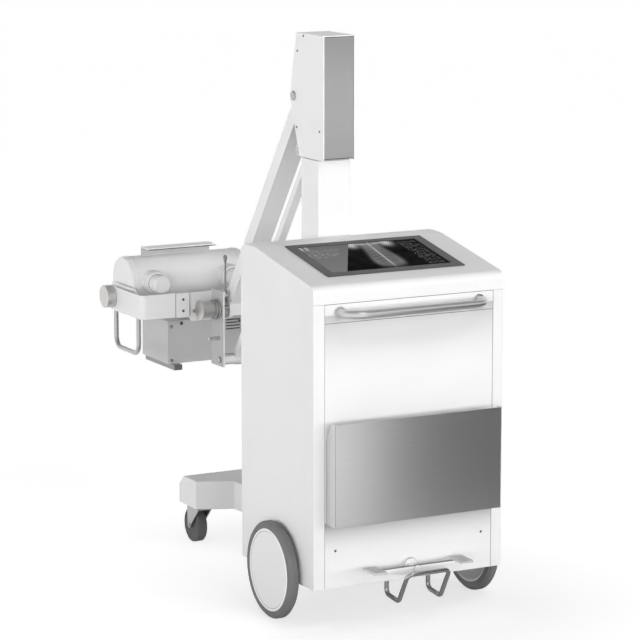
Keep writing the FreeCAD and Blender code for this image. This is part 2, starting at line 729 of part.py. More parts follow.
def make_cabinet_shell():
    """Base pan, side panels, back wall and front flanges in one folded and welded shell."""
    lip = S.seam_gap
    outer = [
        (front, under),
        (front, front_seam_z - lip),
        (front + S.sheet, front_seam_z - lip),
        (front + S.sheet, under + S.front_height + console_slope * S.sheet - skin),
        (front + S.crest_depth, under + crest_height - skin),
        (back - S.sheet, under + back_height - skin),
        (back - S.sheet, back_seam_z - lip),
        (back, back_seam_z - lip),
        (back, under),
    ]
    less = S.sheet
    body = prism("x", outer, (-half_width, half_width),
                 [(3, S.front_edge_radius - less), (4, S.crest_radius), (5, S.back_edge_radius - less)])
    hollow = box((-half_width + S.sheet, half_width - S.sheet), (front + S.sheet, back - S.sheet),
                 (under + S.sheet, under + back_height + S.sheet))
    opening = box((-S.panel_half_width, S.panel_half_width), (front - S.sheet, front + S.sheet),
                  (under + S.sheet, front_seam_z + S.sheet))
    axle_hole = cylinder("x", (axle_y, axle_z), S.axle_radius + S.sheet,
                         -half_width - S.sheet, half_width + S.sheet)
    inlet_hole = box(span(-S.inlet_side, S.inlet_width / 2), (back - 2 * S.sheet, back + S.sheet),
                     span(under + S.inlet_rise, S.inlet_height / 2))
    slots = [vent_slot(side, step) for side in (-1, 1) for step in range(8)]
    shell = cut(body, hollow, opening, axle_hole, inlet_hole, *slots)
    stops = []
    for side in (-1, 1):
        edge = side * (S.panel_half_width - S.panel_return)
        wall = side * (half_width - S.sheet)
        across = (edge, wall) if side > 0 else (wall, edge)
        stops.append(box(across, (front + S.panel_return, front + S.panel_return + S.sheet),
                         (under + S.sheet, front_seam_z - lip)))
    return fuse(shell, *stops)


def vent_slot(side, step):
    start = S.column_half_width + S.vent_pitch if side > 0 else -S.column_half_width - S.vent_pitch
    end = start + side * S.vent_slot_length
    across = (start, end) if side > 0 else (end, start)
    low = under + S.vent_rise + step * S.vent_pitch
    return box(across, (back - 2 * S.sheet, back + S.sheet), (low, low + S.vent_slot_height))


def folded_panel(half, low, high):
    """A front panel with its edges folded back."""
    outside = box((-half, half), (front, front + S.panel_return), (low, high))
    inside = box((-half + S.sheet, half - S.sheet),
                 (front + S.sheet, front + S.panel_return + S.sheet),
                 (low + S.sheet, high - S.sheet))
    return outside, inside


fascia_low = front_seam_z - S.fascia_height
fascia_half = S.panel_half_width - S.seam_gap

sub_part("console_top", make_console_top())
sub_part("cabinet_shell", make_cabinet_shell())

outside, inside = folded_panel(fascia_half, fascia_low, front_seam_z - S.seam_gap)
handle_z = front_seam_z - S.handle_drop
bolt_holes = [cylinder("y", (side * S.handle_half_span, handle_z), S.screw_radius,
                       front - S.sheet, front + 2 * S.sheet) for side in (-1, 1)]
sub_part("front_fascia", cut(outside, inside, *bolt_holes))

outside, inside = folded_panel(fascia_half, under + S.sheet, fascia_low - S.seam_gap)
pedal_z = under + S.pedal_height
shaft_hole = cylinder("y", (size(0), pedal_z), S.pedal_shaft_radius + S.sheet,
                      front - S.sheet, front + 2 * S.sheet)
sub_part("front_panel", cut(outside, inside, shaft_hole))


# Base frame with the bores of axle and pedal shaft
def make_base_frame():
    half = half_width - S.sheet - S.frame_gap
    near = front + S.panel_return + S.sheet
    far = back - S.sheet - S.frame_gap
    low = under + S.sheet
    high = low + S.frame_height
    body = box((-half, half), (near, far), (low, high))
    opening = box((-half + S.frame_rail, half - S.frame_rail), (near + S.frame_rail, far - S.frame_rail),
                  (low - S.sheet, high + S.sheet))
    axle_bore = cylinder("x", (axle_y, axle_z), S.axle_radius, -half - S.sheet, half + S.sheet)
    shaft_bore = cylinder("y", (size(0), pedal_z), S.pedal_shaft_radius + S.running_gap,
                          near - S.sheet, front + S.pedal_shaft_depth + S.sheet)
    return cut(body, opening, axle_bore, shaft_bore)


frame_top = under + S.sheet + S.frame_height
sub_part("base_frame", make_base_frame())

# Battery pack and high-voltage generator stand on the frame's side members
battery_half = half_width - S.battery_side_gap
battery_back = front + S.battery_front + S.battery_depth
sub_part("battery_pack", box(span(size(0), battery_half),
                             (front + S.battery_front, battery_back),
                             (frame_top, frame_top + S.battery_height)))
generator_front = battery_back + S.panel_return
sub_part("generator", box(span(size(0), battery_half),
                          (generator_front, back - S.generator_gap),
                          (frame_top, frame_top + S.generator_height)))


def make_mains_inlet():
    """Recessed three-pin inlet in the back wall; its flange lies on the sheet."""
    middle_z = under + S.inlet_rise
    half_w = S.inlet_width / 2
    half_h = S.inlet_height / 2
    flange = box(span(-S.inlet_side, half_w + 2 * S.sheet), (back, back + S.sheet),
                 span(middle_z, half_h + 2 * S.sheet))
    case = box(span(-S.inlet_side, half_w - S.touch_gap), (back - 12 * S.sheet, back),
               span(middle_z, half_h - S.touch_gap))
    recess = box(span(-S.inlet_side, half_w - 2 * S.sheet), (back - 9 * S.sheet, back + 2 * S.sheet),
                 span(middle_z, half_h - 2 * S.sheet))
    pins = [box(span(-S.inlet_side + step * 5 * S.sheet, S.sheet), (back - 10 * S.sheet, back - 3 * S.sheet),
                span(middle_z, 2 * S.sheet)) for step in (-1, 0, 1)]
    return fuse(cut(fuse(flange, case), recess), *pins)


sub_part("mains_inlet", make_mains_inlet())


# Monitor: a frame with its case behind, and the display set into it
display_top = S.monitor_proud - S.display_recess
display_bottom = display_top - S.display_thickness


def display_block(low, high):
    return monitor_block(S.monitor_half_width - S.monitor_side_border, S.monitor_near_border,
                         S.monitor_far_border, low, high)


def make_monitor():
    frame_block = monitor_block(S.monitor_half_width, size(0), size(0), size(0), S.monitor_proud)
    inset = S.monitor_case_inset
    case = monitor_block(S.monitor_half_width - inset, inset, inset, -S.monitor_case_depth, size(0))
    return cut(fuse(frame_block, case), display_block(display_bottom, S.monitor_proud + S.sheet))


sub_part("monitor", make_monitor())
sub_part("display", display_block(display_bottom, display_top))

# Push handle, a bent tube welded on two round feet
handle_bar_y = front - S.handle_reach
handle_points = [
    (-S.handle_half_span, front - S.flange_thickness, handle_z),
    (-S.handle_half_span, handle_bar_y, handle_z),
    (S.handle_half_span, handle_bar_y, handle_z),
    (S.handle_half_span, front - S.flange_thickness, handle_z),
]
handle_tube = bent_tube(handle_points, S.handle_bend, S.handle_radius, S.handle_radius - S.handle_wall)
handle_feet = [cylinder("y", (side * S.handle_half_span, handle_z), S.flange_radius,
                        front - S.flange_thickness, front) for side in (-1, 1)]
sub_part("push_handle", fuse(handle_tube, *handle_feet))


# Detector pocket, folded from steel and open at the top
def make_pocket():
    low = under + S.pocket_bottom
    face = front - S.pocket_depth
    top = under + S.pocket_front_top
    side_view = [
        (front, low),
        (face, low),
        (face, top),
        (face + S.pocket_lip, top),
        (front, under + S.pocket_back_top),
    ]
    body = prism("x", side_view, (-S.pocket_half_width, S.pocket_half_width))
    hollow = box(span(size(0), S.pocket_half_width - S.pocket_sheet),
                 (face + S.pocket_sheet, front - S.pocket_sheet),
                 (low + S.pocket_sheet, top + S.pocket_depth))
    return cut(body, hollow)


sub_part("detector_pocket", make_pocket())

# Tip bar: one bent steel rod under the front edge
tip_side = S.tip_bar_half_width
tip_half = [
    (front + S.tip_bar_foot, under),
    (front + S.tip_bar_foot, under - S.tip_bar_drop + S.tip_bar_radius),
    (front - S.tip_bar_knee, under - S.tip_bar_drop),
    (front - S.tip_bar_reach, under + S.tip_bar_rise),
]
tip_points = [(-tip_side, y, z) for y, z in tip_half] + [(tip_side, y, z) for y, z in reversed(tip_half)]
sub_part("tip_bar", bent_tube(tip_points, S.tip_bar_bend, S.tip_bar_radius))

# Brake pedal: bearing boss, rocker on its shaft, and two ribbed pads
bar_front = front - S.pedal_bar_front
bar_back = bar_front + S.pedal_bar_thickness
boss_end = front + S.panel_return + S.sheet
boss_face = front - S.boss_length
boss_profile = ring_profile(size(0), boss_end - boss_face, S.pedal_shaft_radius + S.running_gap,
                            S.pedal_shaft_radius + S.sheet - S.running_gap)
boss_collar = ring_profile(size(0), S.boss_length, S.pedal_shaft_radius + S.running_gap, S.boss_radius)
sub_part("pedal_bearing", fuse(turned("y", boss_profile, 0, boss_face, pedal_z),
                               turned("y", boss_collar, 0, boss_face, pedal_z)))


def make_pedal():
    top = pedal_z + S.pedal_bar_top
    shape = [
        (-S.pedal_half_length, top),
        (-S.pedal_half_length, top - S.pedal_bar_tip),
        (size(0) - S.boss_radius, pedal_z - S.pedal_bar_drop),
        (size(0) + S.boss_radius, pedal_z - S.pedal_bar_drop),
        (S.pedal_half_length, top - S.pedal_bar_tip),
        (S.pedal_half_length, top),
    ]
    start = S.pad_centre - S.pad_length / 2
    end = S.pad_centre + S.pad_length / 4
    bar = prism("y", shape, (bar_front, bar_back))
    tabs = [box((start, end), (bar_front, bar_back), (top - 2 * S.sheet, top)),
            box((-end, -start), (bar_front, bar_back), (top - 2 * S.sheet, top))]
    shaft = cylinder("y", (size(0), pedal_z), S.pedal_shaft_radius, bar_front,
                     front + S.pedal_shaft_depth)
    disc = cylinder("y", (size(0), pedal_z), S.pedal_disc_radius, bar_front - S.sheet, bar_front)
    return fuse(bar, shaft, disc, *tabs)


def make_pad(side):
    """A pad seen from the side has ribs on top and a saw-tooth front edge."""
    low = pedal_z + S.pedal_bar_top
    high = low + S.pad_thickness
    start = side * S.pad_centre - S.pad_length / 2
    end = start + S.pad_length
    slab = box((start, end), (front - S.pad_front, front - S.pad_front + S.pad_depth),
               (low, high - S.pad_rib / 2))
    ribs = []
    for step in range(6):
        rib_start = start + (step + 0.5) * S.pad_length / 6 - S.pad_rib / 2
        ribs.append(box((rib_start, rib_start + S.pad_rib),
                        (front - S.pad_front - S.pad_rib / 2, front - S.pad_front + S.pad_depth),
                        (low + S.sheet, high)))
    return fuse(slab, *ribs)


sub_part("brake_pedal", make_pedal())
sub_part("pedal_pads", group(make_pad(-1), make_pad(1)))

# Rear axle and wheels
disc_out = S.rear_wheel_outside - S.disc_face
sub_part("rear_axle", cylinder("x", (axle_y, axle_z), S.axle_radius, -disc_out + S.running_gap,
                               disc_out - S.running_gap))


def rear_tyre(side):
    inner = tyre_seat_radius
    shoulder = rear_wheel_radius - S.tyre_shoulder
    profile = [
        (size(0), inner),
        (size(0), shoulder),
        (S.tyre_shoulder, rear_wheel_radius),
        (S.rear_wheel_width - S.tyre_shoulder, rear_wheel_radius),
        (S.rear_wheel_width, shoulder),
        (S.rear_wheel_width, inner),
    ]
    start = wheel_inside if side > 0 else -S.rear_wheel_outside
    return turned("x", profile, start, axle_y, axle_z)


def rear_disc():
    """Right wheel disc: closed flat face with a raised ring, dished and bossed on the inside."""
    inside_face = size(0)
    outside_face = S.rear_wheel_width - S.disc_lip
    bore = S.axle_radius + S.running_gap
    rim = tyre_seat_radius
    lip = S.disc_lip
    profile = [
        (outside_face, size(0)),
        (outside_face, rim - 4 * lip),
        (outside_face + lip, rim - 4 * lip),
        (outside_face + lip, rim - 3 * lip),
        (outside_face, rim - 2 * lip),
        (outside_face, rim),
        (inside_face, rim),
        (inside_face, rim - S.disc_dish),
        (inside_face + S.disc_dish, rim - 2 * S.disc_dish),
        (inside_face + S.disc_dish, S.disc_hub_radius),
        (inside_face - S.frame_gap, S.disc_hub_radius),
        (inside_face - S.frame_gap, bore),
        (disc_out - wheel_inside, bore),
        (disc_out - wheel_inside, size(0)),
    ]
    return turned("x", profile, wheel_inside, axle_y, axle_z)


sub_part("rear_tyre_left", rear_tyre(-1))
sub_part("rear_tyre_right", rear_tyre(1))
sub_part("rear_disc_right", rear_disc())
sub_part("rear_disc_left", mirrored(rear_disc()))

# Front leg and crossbar
foot_z = (under + S.foot_bottom, under + S.foot_top)
leg = box(span(size(0), S.leg_half_width), (back, back + S.crossbar_near), foot_z)
leg_inside = box(span(size(0), S.leg_half_width - S.foot_wall),
                 (back - S.foot_wall, back + S.crossbar_near + S.foot_wall),
                 (foot_z[0] + S.foot_wall, foot_z[1] - S.foot_wall))
sub_part("front_leg", cut(leg, leg_inside))


def crossbar_plan(less):
    """Plan of the crossbar, moved in by a wall thickness."""
    half = S.crossbar_half_length - less
    return [
        (-half, back + S.crossbar_end_near + less),
        (-S.leg_half_width, back + S.crossbar_near + less),
        (S.leg_half_width, back + S.crossbar_near + less),
        (half, back + S.crossbar_end_near + less),
        (half, back + S.crossbar_far - less),
        (-half, back + S.crossbar_far - less),
    ]


def make_crossbar():
    """Folded crossbar, open underneath, with the two stem housings of the casters."""
    far = back + S.crossbar_far
    half = S.crossbar_half_length + S.foot_wall
    outside = prism("z", crossbar_plan(size(0)), foot_z)
    hollow = prism("z", crossbar_plan(S.foot_wall), (foot_z[0] - S.foot_wall, foot_z[1] - S.foot_wall))
    bevel_low = foot_z[1] - S.crossbar_bevel_height
    bevel = prism("x", [(far, bevel_low), (far + S.foot_wall, bevel_low), (far + S.foot_wall, foot_z[1] + S.foot_wall),
                        (far - S.crossbar_bevel_depth, foot_z[1] + S.foot_wall),
                        (far - S.crossbar_bevel_depth, foot_z[1])], (-half, half))
    wall = S.foot_wall
    backing = prism("x", [(far - wall, bevel_low - 2 * wall), (far - wall, foot_z[1] - wall),
                          (far - S.crossbar_bevel_depth - 2 * wall, foot_z[1] - wall),
                          (far - S.crossbar_bevel_depth - wall, foot_z[1] - 2 * wall)],
                    (-S.crossbar_half_length + wall / 2, S.crossbar_half_length - wall / 2))
    sockets = [cylinder("z", (side * S.caster_side, back + S.caster_depth), S.caster_boss_radius,
                        foot_z[0], foot_z[1] - S.foot_wall / 2) for side in (-1, 1)]
    bores = [cylinder("z", (side * S.caster_side, back + S.caster_depth),
                      S.caster_stem_radius + S.running_gap, foot_z[0] - S.foot_wall,
                      foot_z[0] + S.caster_stem_length + S.sheet) for side in (-1, 1)]
    return cut(fuse(cut(outside, hollow), backing, *sockets), bevel, *bores)


sub_part("crossbar", make_crossbar())


# Casters
def caster_fork(side):
    """Bent fork with its stem and axle bolt; the axle trails towards the tube head."""
    x = side * S.caster_side
    y = back + S.caster_depth
    inner = S.caster_width / 2 + S.caster_fork_gap
    outer = inner + S.caster_plate
    top = foot_z[0] - S.caster_plate
    axle = (y + S.caster_trail, caster_radius)
    cheek = [
        (y - S.caster_fork_front, top - S.caster_plate),
        (y + S.caster_fork_back, top - S.caster_plate),
        (y + S.caster_trail + S.caster_fork_drop, caster_radius),
        (y + S.caster_trail - S.caster_fork_drop / 2, caster_radius - S.caster_fork_drop / 2),
    ]
    cheeks = []
    for way in (-1, 1):
        reach = (x + inner, x + outer) if way > 0 else (x - outer, x - inner)
        cheeks.append(prism("x", cheek, reach))
        cheeks.append(cylinder("x", axle, S.caster_fork_drop, *reach))
    crown = box((x - outer, x + outer), (y - S.caster_fork_front, y + S.caster_fork_back),
                (top - S.caster_plate, top))
    collar = cylinder("z", (x, y), S.caster_boss_radius, top, foot_z[0] - S.touch_gap)
    stem = cylinder("z", (x, y), S.caster_stem_radius, top, foot_z[0] + S.caster_stem_length)
    bolt = cylinder("x", axle, S.caster_axle_radius, x - outer - S.sheet, x + outer + S.sheet)
    return fuse(crown, collar, stem, bolt, *cheeks)


def caster_wheel(side):
    half = S.caster_width / 2
    radius = caster_radius
    groove = S.caster_groove
    bore = S.caster_axle_radius + S.running_gap
    profile = [
        (-half, bore),
        (-half, 2.4 * bore),
        (-half + groove, 2.4 * bore),
        (-half + groove, radius - 4 * groove),
        (-half, radius - 3 * groove),
        (-half + groove, radius - groove / 2),
        (-half + 2 * groove, radius),
        (half - 2 * groove, radius),
        (half - groove, radius - groove / 2),
        (half, radius - 3 * groove),
        (half - groove, radius - 4 * groove),
        (half - groove, 2.4 * bore),
        (half, 2.4 * bore),
        (half, bore),
    ]
    return turned("x", profile, side * S.caster_side, back + S.caster_depth + S.caster_trail, caster_radius)


for side, word in ((-1, "left"), (1, "right")):
    sub_part(f"caster_fork_{word}", caster_fork(side))
    sub_part(f"caster_wheel_{word}", caster_wheel(side))

# Column on the leg, with its cap plate
column_back = back + S.column_depth
column_z = (foot_z[1], under + S.column_top)
column_outside = box(span(size(0), S.column_half_width), (back, column_back), column_z)
column_inside = box(span(size(0), S.column_half_width - S.column_wall),
                    (back + S.column_wall, column_back - S.column_wall),
                    (column_z[0] - S.column_wall, column_z[1] + S.column_wall))
sub_part("column", cut(column_outside, column_inside))

column_middle = back + S.column_depth / 2


def make_balance_spring():
    """Closed spring cartridge that hangs in the column from the cap plate."""
    eye_low = column_z[1] - S.spring_eye
    rod_low = eye_low - S.spring_rod
    low = rod_low - S.spring_length
    profile = [
        (low, size(0)),
        (low, S.spring_radius - S.column_wall),
        (low + S.column_wall, S.spring_radius),
        (rod_low - S.column_wall, S.spring_radius),
        (rod_low, S.spring_radius - S.column_wall),
        (rod_low, S.spring_rod_radius),
        (eye_low, S.spring_rod_radius),
        (eye_low, 2 * S.spring_rod_radius),
        (column_z[1], 2 * S.spring_rod_radius),
        (column_z[1], size(0)),
    ]
    return turned("z", profile, 0, column_middle, 0)


sub_part("balance_spring", make_balance_spring())


# Head: covers, frame and pivot pins
def head_outline(margin):
    return [
        (back - S.head_overlap + margin, head_bottom_z + margin / 2),
        (back - S.head_overlap + margin, head_top_z - margin),
        (back + S.head_top_back - margin, head_top_z - margin),
        (back + S.head_nose_back - margin, head_bottom_z + S.head_nose_rise),
        (back + S.head_bottom_back - margin, head_bottom_z + margin / 2),
    ]


def head_cover(side):
    outer = S.head_half_width
    inner = outer - S.cover_sheet
    reach = (inner, outer) if side > 0 else (-outer, -inner)
    plate = prism("x", head_outline(size(0)), reach)
    hole = cylinder("x", (pivot_y, pivot_z), S.pivot_radius + S.running_gap,
                    reach[0] - S.sheet, reach[1] + S.sheet)
    return cut(plate, hole)


sub_part("head_cover_left", head_cover(-1))
sub_part("head_cover_right", head_cover(1))
cover_half = S.head_half_width - S.cover_sheet
cover_front = back - S.head_overlap + S.cover_inset
top_plate_low = head_top_z - S.cover_sheet
sub_part("head_front_cover", box(span(size(0), cover_half), (cover_front, cover_front + S.cover_sheet),
                                 (head_bottom_z + S.cover_inset, top_plate_low)))
top_slant = back + S.head_top_back - S.cover_inset
sub_part("head_top_cover", box(span(size(0), cover_half), (cover_front, top_slant),
                               (top_plate_low, head_top_z)))


def make_head_frame():
    """Cap plate and two cheeks that carry the pivots of arm and link."""
    cap = box(span(size(0), S.cheek_inside + S.cheek_thickness), (back + S.touch_gap, column_back),
              (column_z[1], column_z[1] + S.cap_plate))
    pieces = [cap]
    holes = []
    for way in (-1, 1):
        near = S.cheek_inside
        far = near + S.cheek_thickness
        reach = (near, far) if way > 0 else (-far, -near)
        pieces.append(prism("x", head_outline(S.cheek_margin), reach))
        pieces.append(cylinder("x", (link_top_y, link_top_z), S.lug_radius, *reach))
        pieces.append(cylinder("x", (pivot_y, pivot_z), S.pivot_boss_radius, *reach))
        holes.append(cylinder("x", (link_top_y, link_top_z), S.link_pin_radius, *reach))
        holes.append(cylinder("x", (pivot_y, pivot_z), S.pivot_radius, *reach))
    return cut(fuse(*pieces), *holes)


sub_part("head_frame", make_head_frame())
pin_end = S.head_half_width
link_pin_end = S.cheek_inside + S.cheek_thickness
button = [
    (-pin_end - S.pivot_head_height, size(0)),
    (-pin_end - S.pivot_head_height, S.pivot_head_radius - S.pivot_head_height / 2),
    (-pin_end - S.pivot_head_height / 2, S.pivot_head_radius),
    (-pin_end, S.pivot_head_radius),
    (-pin_end, S.pivot_radius),
    (pin_end, S.pivot_radius),
    (pin_end, S.pivot_head_radius),
    (pin_end + S.pivot_head_height / 2, S.pivot_head_radius),
    (pin_end + S.pivot_head_height, S.pivot_head_radius - S.pivot_head_height / 2),
    (pin_end + S.pivot_head_height, size(0)),
]
sub_part("pivot_pins", group(turned("x", button, 0, pivot_y, pivot_z),
                             cylinder("x", (link_top_y, link_top_z), S.link_pin_radius,
                                      -link_pin_end, link_pin_end)))


# Screws of the head covers and of the front panel
def cover_screws():
    heads = []
    top = head_top_z
    bottom = head_bottom_z
    spots = [
        (back + S.head_top_back - 3 * S.screw_inset, top - S.screw_inset / 2),
        (back + S.head_top_back - S.screw_inset / 2, top - 3.5 * S.screw_inset),
        (back + S.head_bottom_back + S.screw_inset, bottom + 5.5 * S.screw_inset),
        (back - S.head_overlap + 1.5 * S.screw_inset, bottom + 5.5 * S.screw_inset),
    ]
    for y, z in spots:
        heads.append(cylinder("x", (y, z), S.screw_radius, S.head_half_width, S.head_half_width + S.screw_height))
        heads.append(cylinder("x", (y, z), S.screw_radius, -S.head_half_width - S.screw_height, -S.head_half_width))
    for side in (-1, 1):
        heads.append(cylinder("y", (side * S.panel_screw_side, under + S.panel_screw_rise),
                              S.screw_radius, front - S.screw_height, front))
    return group(*heads)


sub_part("cover_screws", cover_screws())


# Arm, end block and link bar
def slanted_bar(top_y, top_z, half_thickness, low_z, wall):
    """Side view of a bar along the arm's slope, cut level at its lower end."""
    across = half_thickness - wall
    run = across / cosine(S.arm_angle)
    fall = top_z - low_z
    low_y = top_y + fall * tangent(S.arm_angle)
    upper_y = across * cosine(S.arm_angle)
    upper_z = across * sine(S.arm_angle)
    return [
        (top_y - upper_y, top_z - upper_z),
        (top_y + upper_y, top_z + upper_z),
        (low_y + run, low_z),
        (low_y - run, low_z),
    ]


block_top = elbow_z + S.block_half_height


def make_arm():
    """Rectangular tube with a rounded upper end that turns on the main pivot."""
    reach = (-S.arm_half_width, S.arm_half_width)
    bar = prism("x", slanted_bar(pivot_y, pivot_z, S.arm_half_thickness, block_top, size(0)), reach)
    start_y = pivot_y + 3 * S.arm_half_thickness * sine(S.arm_angle)
    start_z = pivot_z - 3 * S.arm_half_thickness * cosine(S.arm_angle)
    hollow = prism("x", slanted_bar(start_y, start_z, S.arm_half_thickness, block_top + S.arm_wall, S.arm_wall),
                   span(size(0), S.arm_half_width - S.arm_wall))
    eye = cylinder("x", (pivot_y, pivot_z), S.arm_eye_radius, -S.cheek_inside + S.touch_gap,
                   S.cheek_inside - S.touch_gap)
    bore = cylinder("x", (pivot_y, pivot_z), S.pivot_radius + S.running_gap, -S.cheek_inside, S.cheek_inside)
    return cut(fuse(cut(bar, hollow), eye), bore)


sub_part("swing_arm", make_arm())
block_reach = S.bracket_face - S.clamp_plate - S.block_gap
block_back = leg_of_triangle(block_reach, S.block_half_height)
end_block = box(span(size(0), S.arm_half_width), (elbow_y - S.block_front, elbow_y + block_back),
                span(elbow_z, S.block_half_height))
spindle_bore = cylinder("x", (elbow_y, elbow_z), S.spindle_radius + S.running_gap,
                        -S.arm_half_width - S.sheet, S.arm_half_width + S.sheet)
sub_part("arm_end_block", cut(end_block, spindle_bore))


def make_link():
    reach = (-S.link_half_width, S.link_half_width)
    rise_y = S.link_half_thickness * cosine(S.arm_angle)
    rise_z = S.link_half_thickness * sine(S.arm_angle)
    bar = prism("x", [(link_top_y - rise_y, link_top_z - rise_z), (link_top_y + rise_y, link_top_z + rise_z),
                      (link_low_y + rise_y, link_low_z + rise_z), (link_low_y - rise_y, link_low_z - rise_z)],
                reach)
    eyes = [cylinder("x", spot, S.lug_radius, *reach)
            for spot in ((link_top_y, link_top_z), (link_low_y, link_low_z))]
    bores = [cylinder("x", spot, S.link_pin_radius + S.running_gap, reach[0] - S.sheet, reach[1] + S.sheet)
             for spot in ((link_top_y, link_top_z), (link_low_y, link_low_z))]
    return cut(fuse(bar, *eyes), *bores)


sub_part("link_bar", make_link())

# Fork bracket: plate beside the arm, and a cross wing behind it
plate_x = (-S.bracket_side, -S.bracket_side + S.bracket_plate)
wing_y = (elbow_y + S.bracket_face - S.bracket_plate, elbow_y + S.bracket_face)
plunger_y = elbow_y - S.plunger_front
plunger_z = elbow_z - S.plunger_drop
lever_y = elbow_y - S.lever_front
lever_z = elbow_z + S.lever_base


def make_bracket():
    upright = [
        (elbow_y - S.bracket_front, elbow_z + S.bracket_top),
        (wing_y[1], elbow_z + S.bracket_top),
        (wing_y[1], elbow_z - S.bracket_bottom),
        (elbow_y - S.bracket_front, elbow_z - S.bracket_bottom),
    ]
    plate = prism("x", upright, plate_x)
    left = tube_x - S.wing_half_width
    right = tube_x + S.wing_half_width
    low = elbow_z - S.wing_bottom
    high = elbow_z + S.wing_top
    wing = prism("y", [(left, low), (left, high), (right, high), (right, low)], wing_y,
                 [(0, S.wing_corner), (3, S.wing_corner)])
    boss = cylinder("x", (link_low_y, link_low_z), S.rod_boss_radius, plate_x[1],
                    -S.link_half_width - S.touch_gap)
    lug_end = -S.lever_side + 2 * S.lever_radius
    lever_lug = box((plate_x[1], lug_end), span(lever_y, 3 * S.lever_radius),
                    (lever_z - 2 * S.lever_eye_radius, elbow_z + S.bracket_top))
    lever_pin = cylinder("x", (lever_y, lever_z), S.lever_pin_radius, plate_x[1], lug_end)
    spindle_hole = cylinder("x", (elbow_y, elbow_z), S.spindle_radius, plate_x[0] - S.sheet, plate_x[1] + S.sheet)
    rod_hole = cylinder("x", (link_low_y, link_low_z), S.link_pin_radius, plate_x[0] - S.sheet, size(0))
    pin_hole = cylinder("x", (plunger_y, plunger_z), S.plunger_radius / 2 + S.running_gap,
                        plate_x[0] - S.sheet, plate_x[1] + S.sheet)
    lever_slot = box(span(-S.lever_side, S.lever_radius + S.touch_gap), span(lever_y, 4 * S.lever_radius),
                     (lever_z - S.lever_eye_radius - 2 * S.touch_gap, elbow_z + S.bracket_top + S.sheet))
    body = cut(fuse(plate, wing, boss, lever_lug), spindle_hole, rod_hole, pin_hole, lever_slot)
    return fuse(body, lever_pin)


sub_part("fork_bracket", make_bracket())
disc_inside = -S.arm_half_width - S.touch_gap
spindle_end = S.arm_half_width + S.touch_gap
sub_part("friction_spindle", fuse(
    cylinder("x", (elbow_y, elbow_z), S.friction_disc_radius, plate_x[1], disc_inside),
    cylinder("x", (elbow_y, elbow_z), S.spindle_radius, plate_x[0] - S.knob_seat, spindle_end),
    cylinder("x", (elbow_y, elbow_z), S.spindle_head_radius, spindle_end, spindle_end + S.spindle_head)))
sub_part("link_rod", fuse(
    cylinder("x", (link_low_y, link_low_z), S.rod_head_radius, plate_x[0] - S.rod_head, plate_x[0]),
    cylinder("x", (link_low_y, link_low_z), S.link_pin_radius, plate_x[0], S.link_half_width + S.touch_gap),
    cylinder("x", (link_low_y, link_low_z), S.rod_head_radius, S.link_half_width + S.touch_gap,
             S.link_half_width + S.touch_gap + S.rod_head)))

# Fork: a bent band, behind the wing, that carries the tube head on two trunnions
band_front = wing_y[1]
band_z = span(elbow_z + S.fork_rise, S.fork_height / 2)
fork_left = tube_x - S.fork_half_width
fork_right = tube_x + S.fork_half_width


def make_fork():
    far = tilt_y + S.fork_end_reach
    outer = [(fork_left, far), (fork_left, band_front), (fork_right, band_front), (fork_right, far)]
    thick = S.fork_sheet
    inner = [(fork_left + thick, far + thick), (fork_left + thick, band_front + thick),
             (fork_right - thick, band_front + thick), (fork_right - thick, far + thick)]
    outside = prism("z", outer, band_z, [(1, S.fork_corner), (2, S.fork_corner)])
    inside = prism("z", inner, (band_z[0] - thick, band_z[1] + thick),
                   [(1, S.fork_corner - thick), (2, S.fork_corner - thick)])
    ends = prism("x", [(tilt_y, band_z[0]), (far, band_z[0]), (far, band_z[1]), (tilt_y, band_z[1])],
                 (fork_left - thick, fork_right + thick))
    round_end = cylinder("x", (tilt_y, elbow_z + S.fork_rise), S.fork_height / 2,
                         fork_left - 2 * thick, fork_right + 2 * thick)
    trunnion_hole = cylinder("x", (tilt_y, tilt_z), S.trunnion_radius + S.running_gap,
                             fork_left - 2 * thick, fork_right + 2 * thick)
    return cut(outside, inside, cut(ends, round_end), trunnion_hole)


sub_part("fork_band", make_fork())


def clamp(side):
    """Plate over the joint of wing and band, with two countersunk screws."""
    inner = tube_x + side * S.wing_half_width
    outer = inner + side * S.clamp_width
    reach = (inner, outer) if side > 0 else (outer, inner)
    plate = box(reach, (band_front - S.clamp_plate, band_front), band_z)
    middle = inner + side * S.clamp_width / 2
    holes = [cylinder("y", (middle, elbow_z + S.fork_rise + way * S.clamp_screw_pitch / 2),
                      S.clamp_screw_radius, band_front - S.clamp_plate - S.sheet,
                      band_front - S.clamp_plate + 2 * S.sheet) for way in (-1, 1)]
    return cut(plate, *holes)


sub_part("clamp_plates", group(clamp(-1), clamp(1)))

# Lock knob on the spindle, tilt knob, index plunger and release lever
knob_start = -S.bracket_side - S.touch_gap
lock_bore = S.spindle_radius + S.running_gap
lock_profile = [
    (-S.knob_seat, size(0)),
    (-S.knob_seat, lock_bore),
    (size(0), lock_bore),
    (size(0), S.lock_collar_radius),
    (-S.lock_collar, S.lock_collar_radius),
    (-S.lock_collar - S.sheet, S.lock_knob_radius - 2 * S.sheet),
    (-S.lock_collar - 3 * S.sheet, S.lock_knob_radius),
    (-S.lock_collar - S.lock_knob_length + 4 * S.sheet, S.lock_knob_radius),
    (-S.lock_collar - S.lock_knob_length + 3 * S.sheet, S.lock_knob_face_radius),
    (-S.lock_collar - S.lock_knob_length + S.sheet / 2, S.lock_knob_face_radius),
    (-S.lock_collar - S.lock_knob_length, S.lock_knob_face_radius - S.sheet),
    (-S.lock_collar - S.lock_knob_length, size(0)),
]
sub_part("lock_knob", turned("x", lock_profile, knob_start, elbow_y, elbow_z))
tilt_bore = S.trunnion_radius + S.running_gap
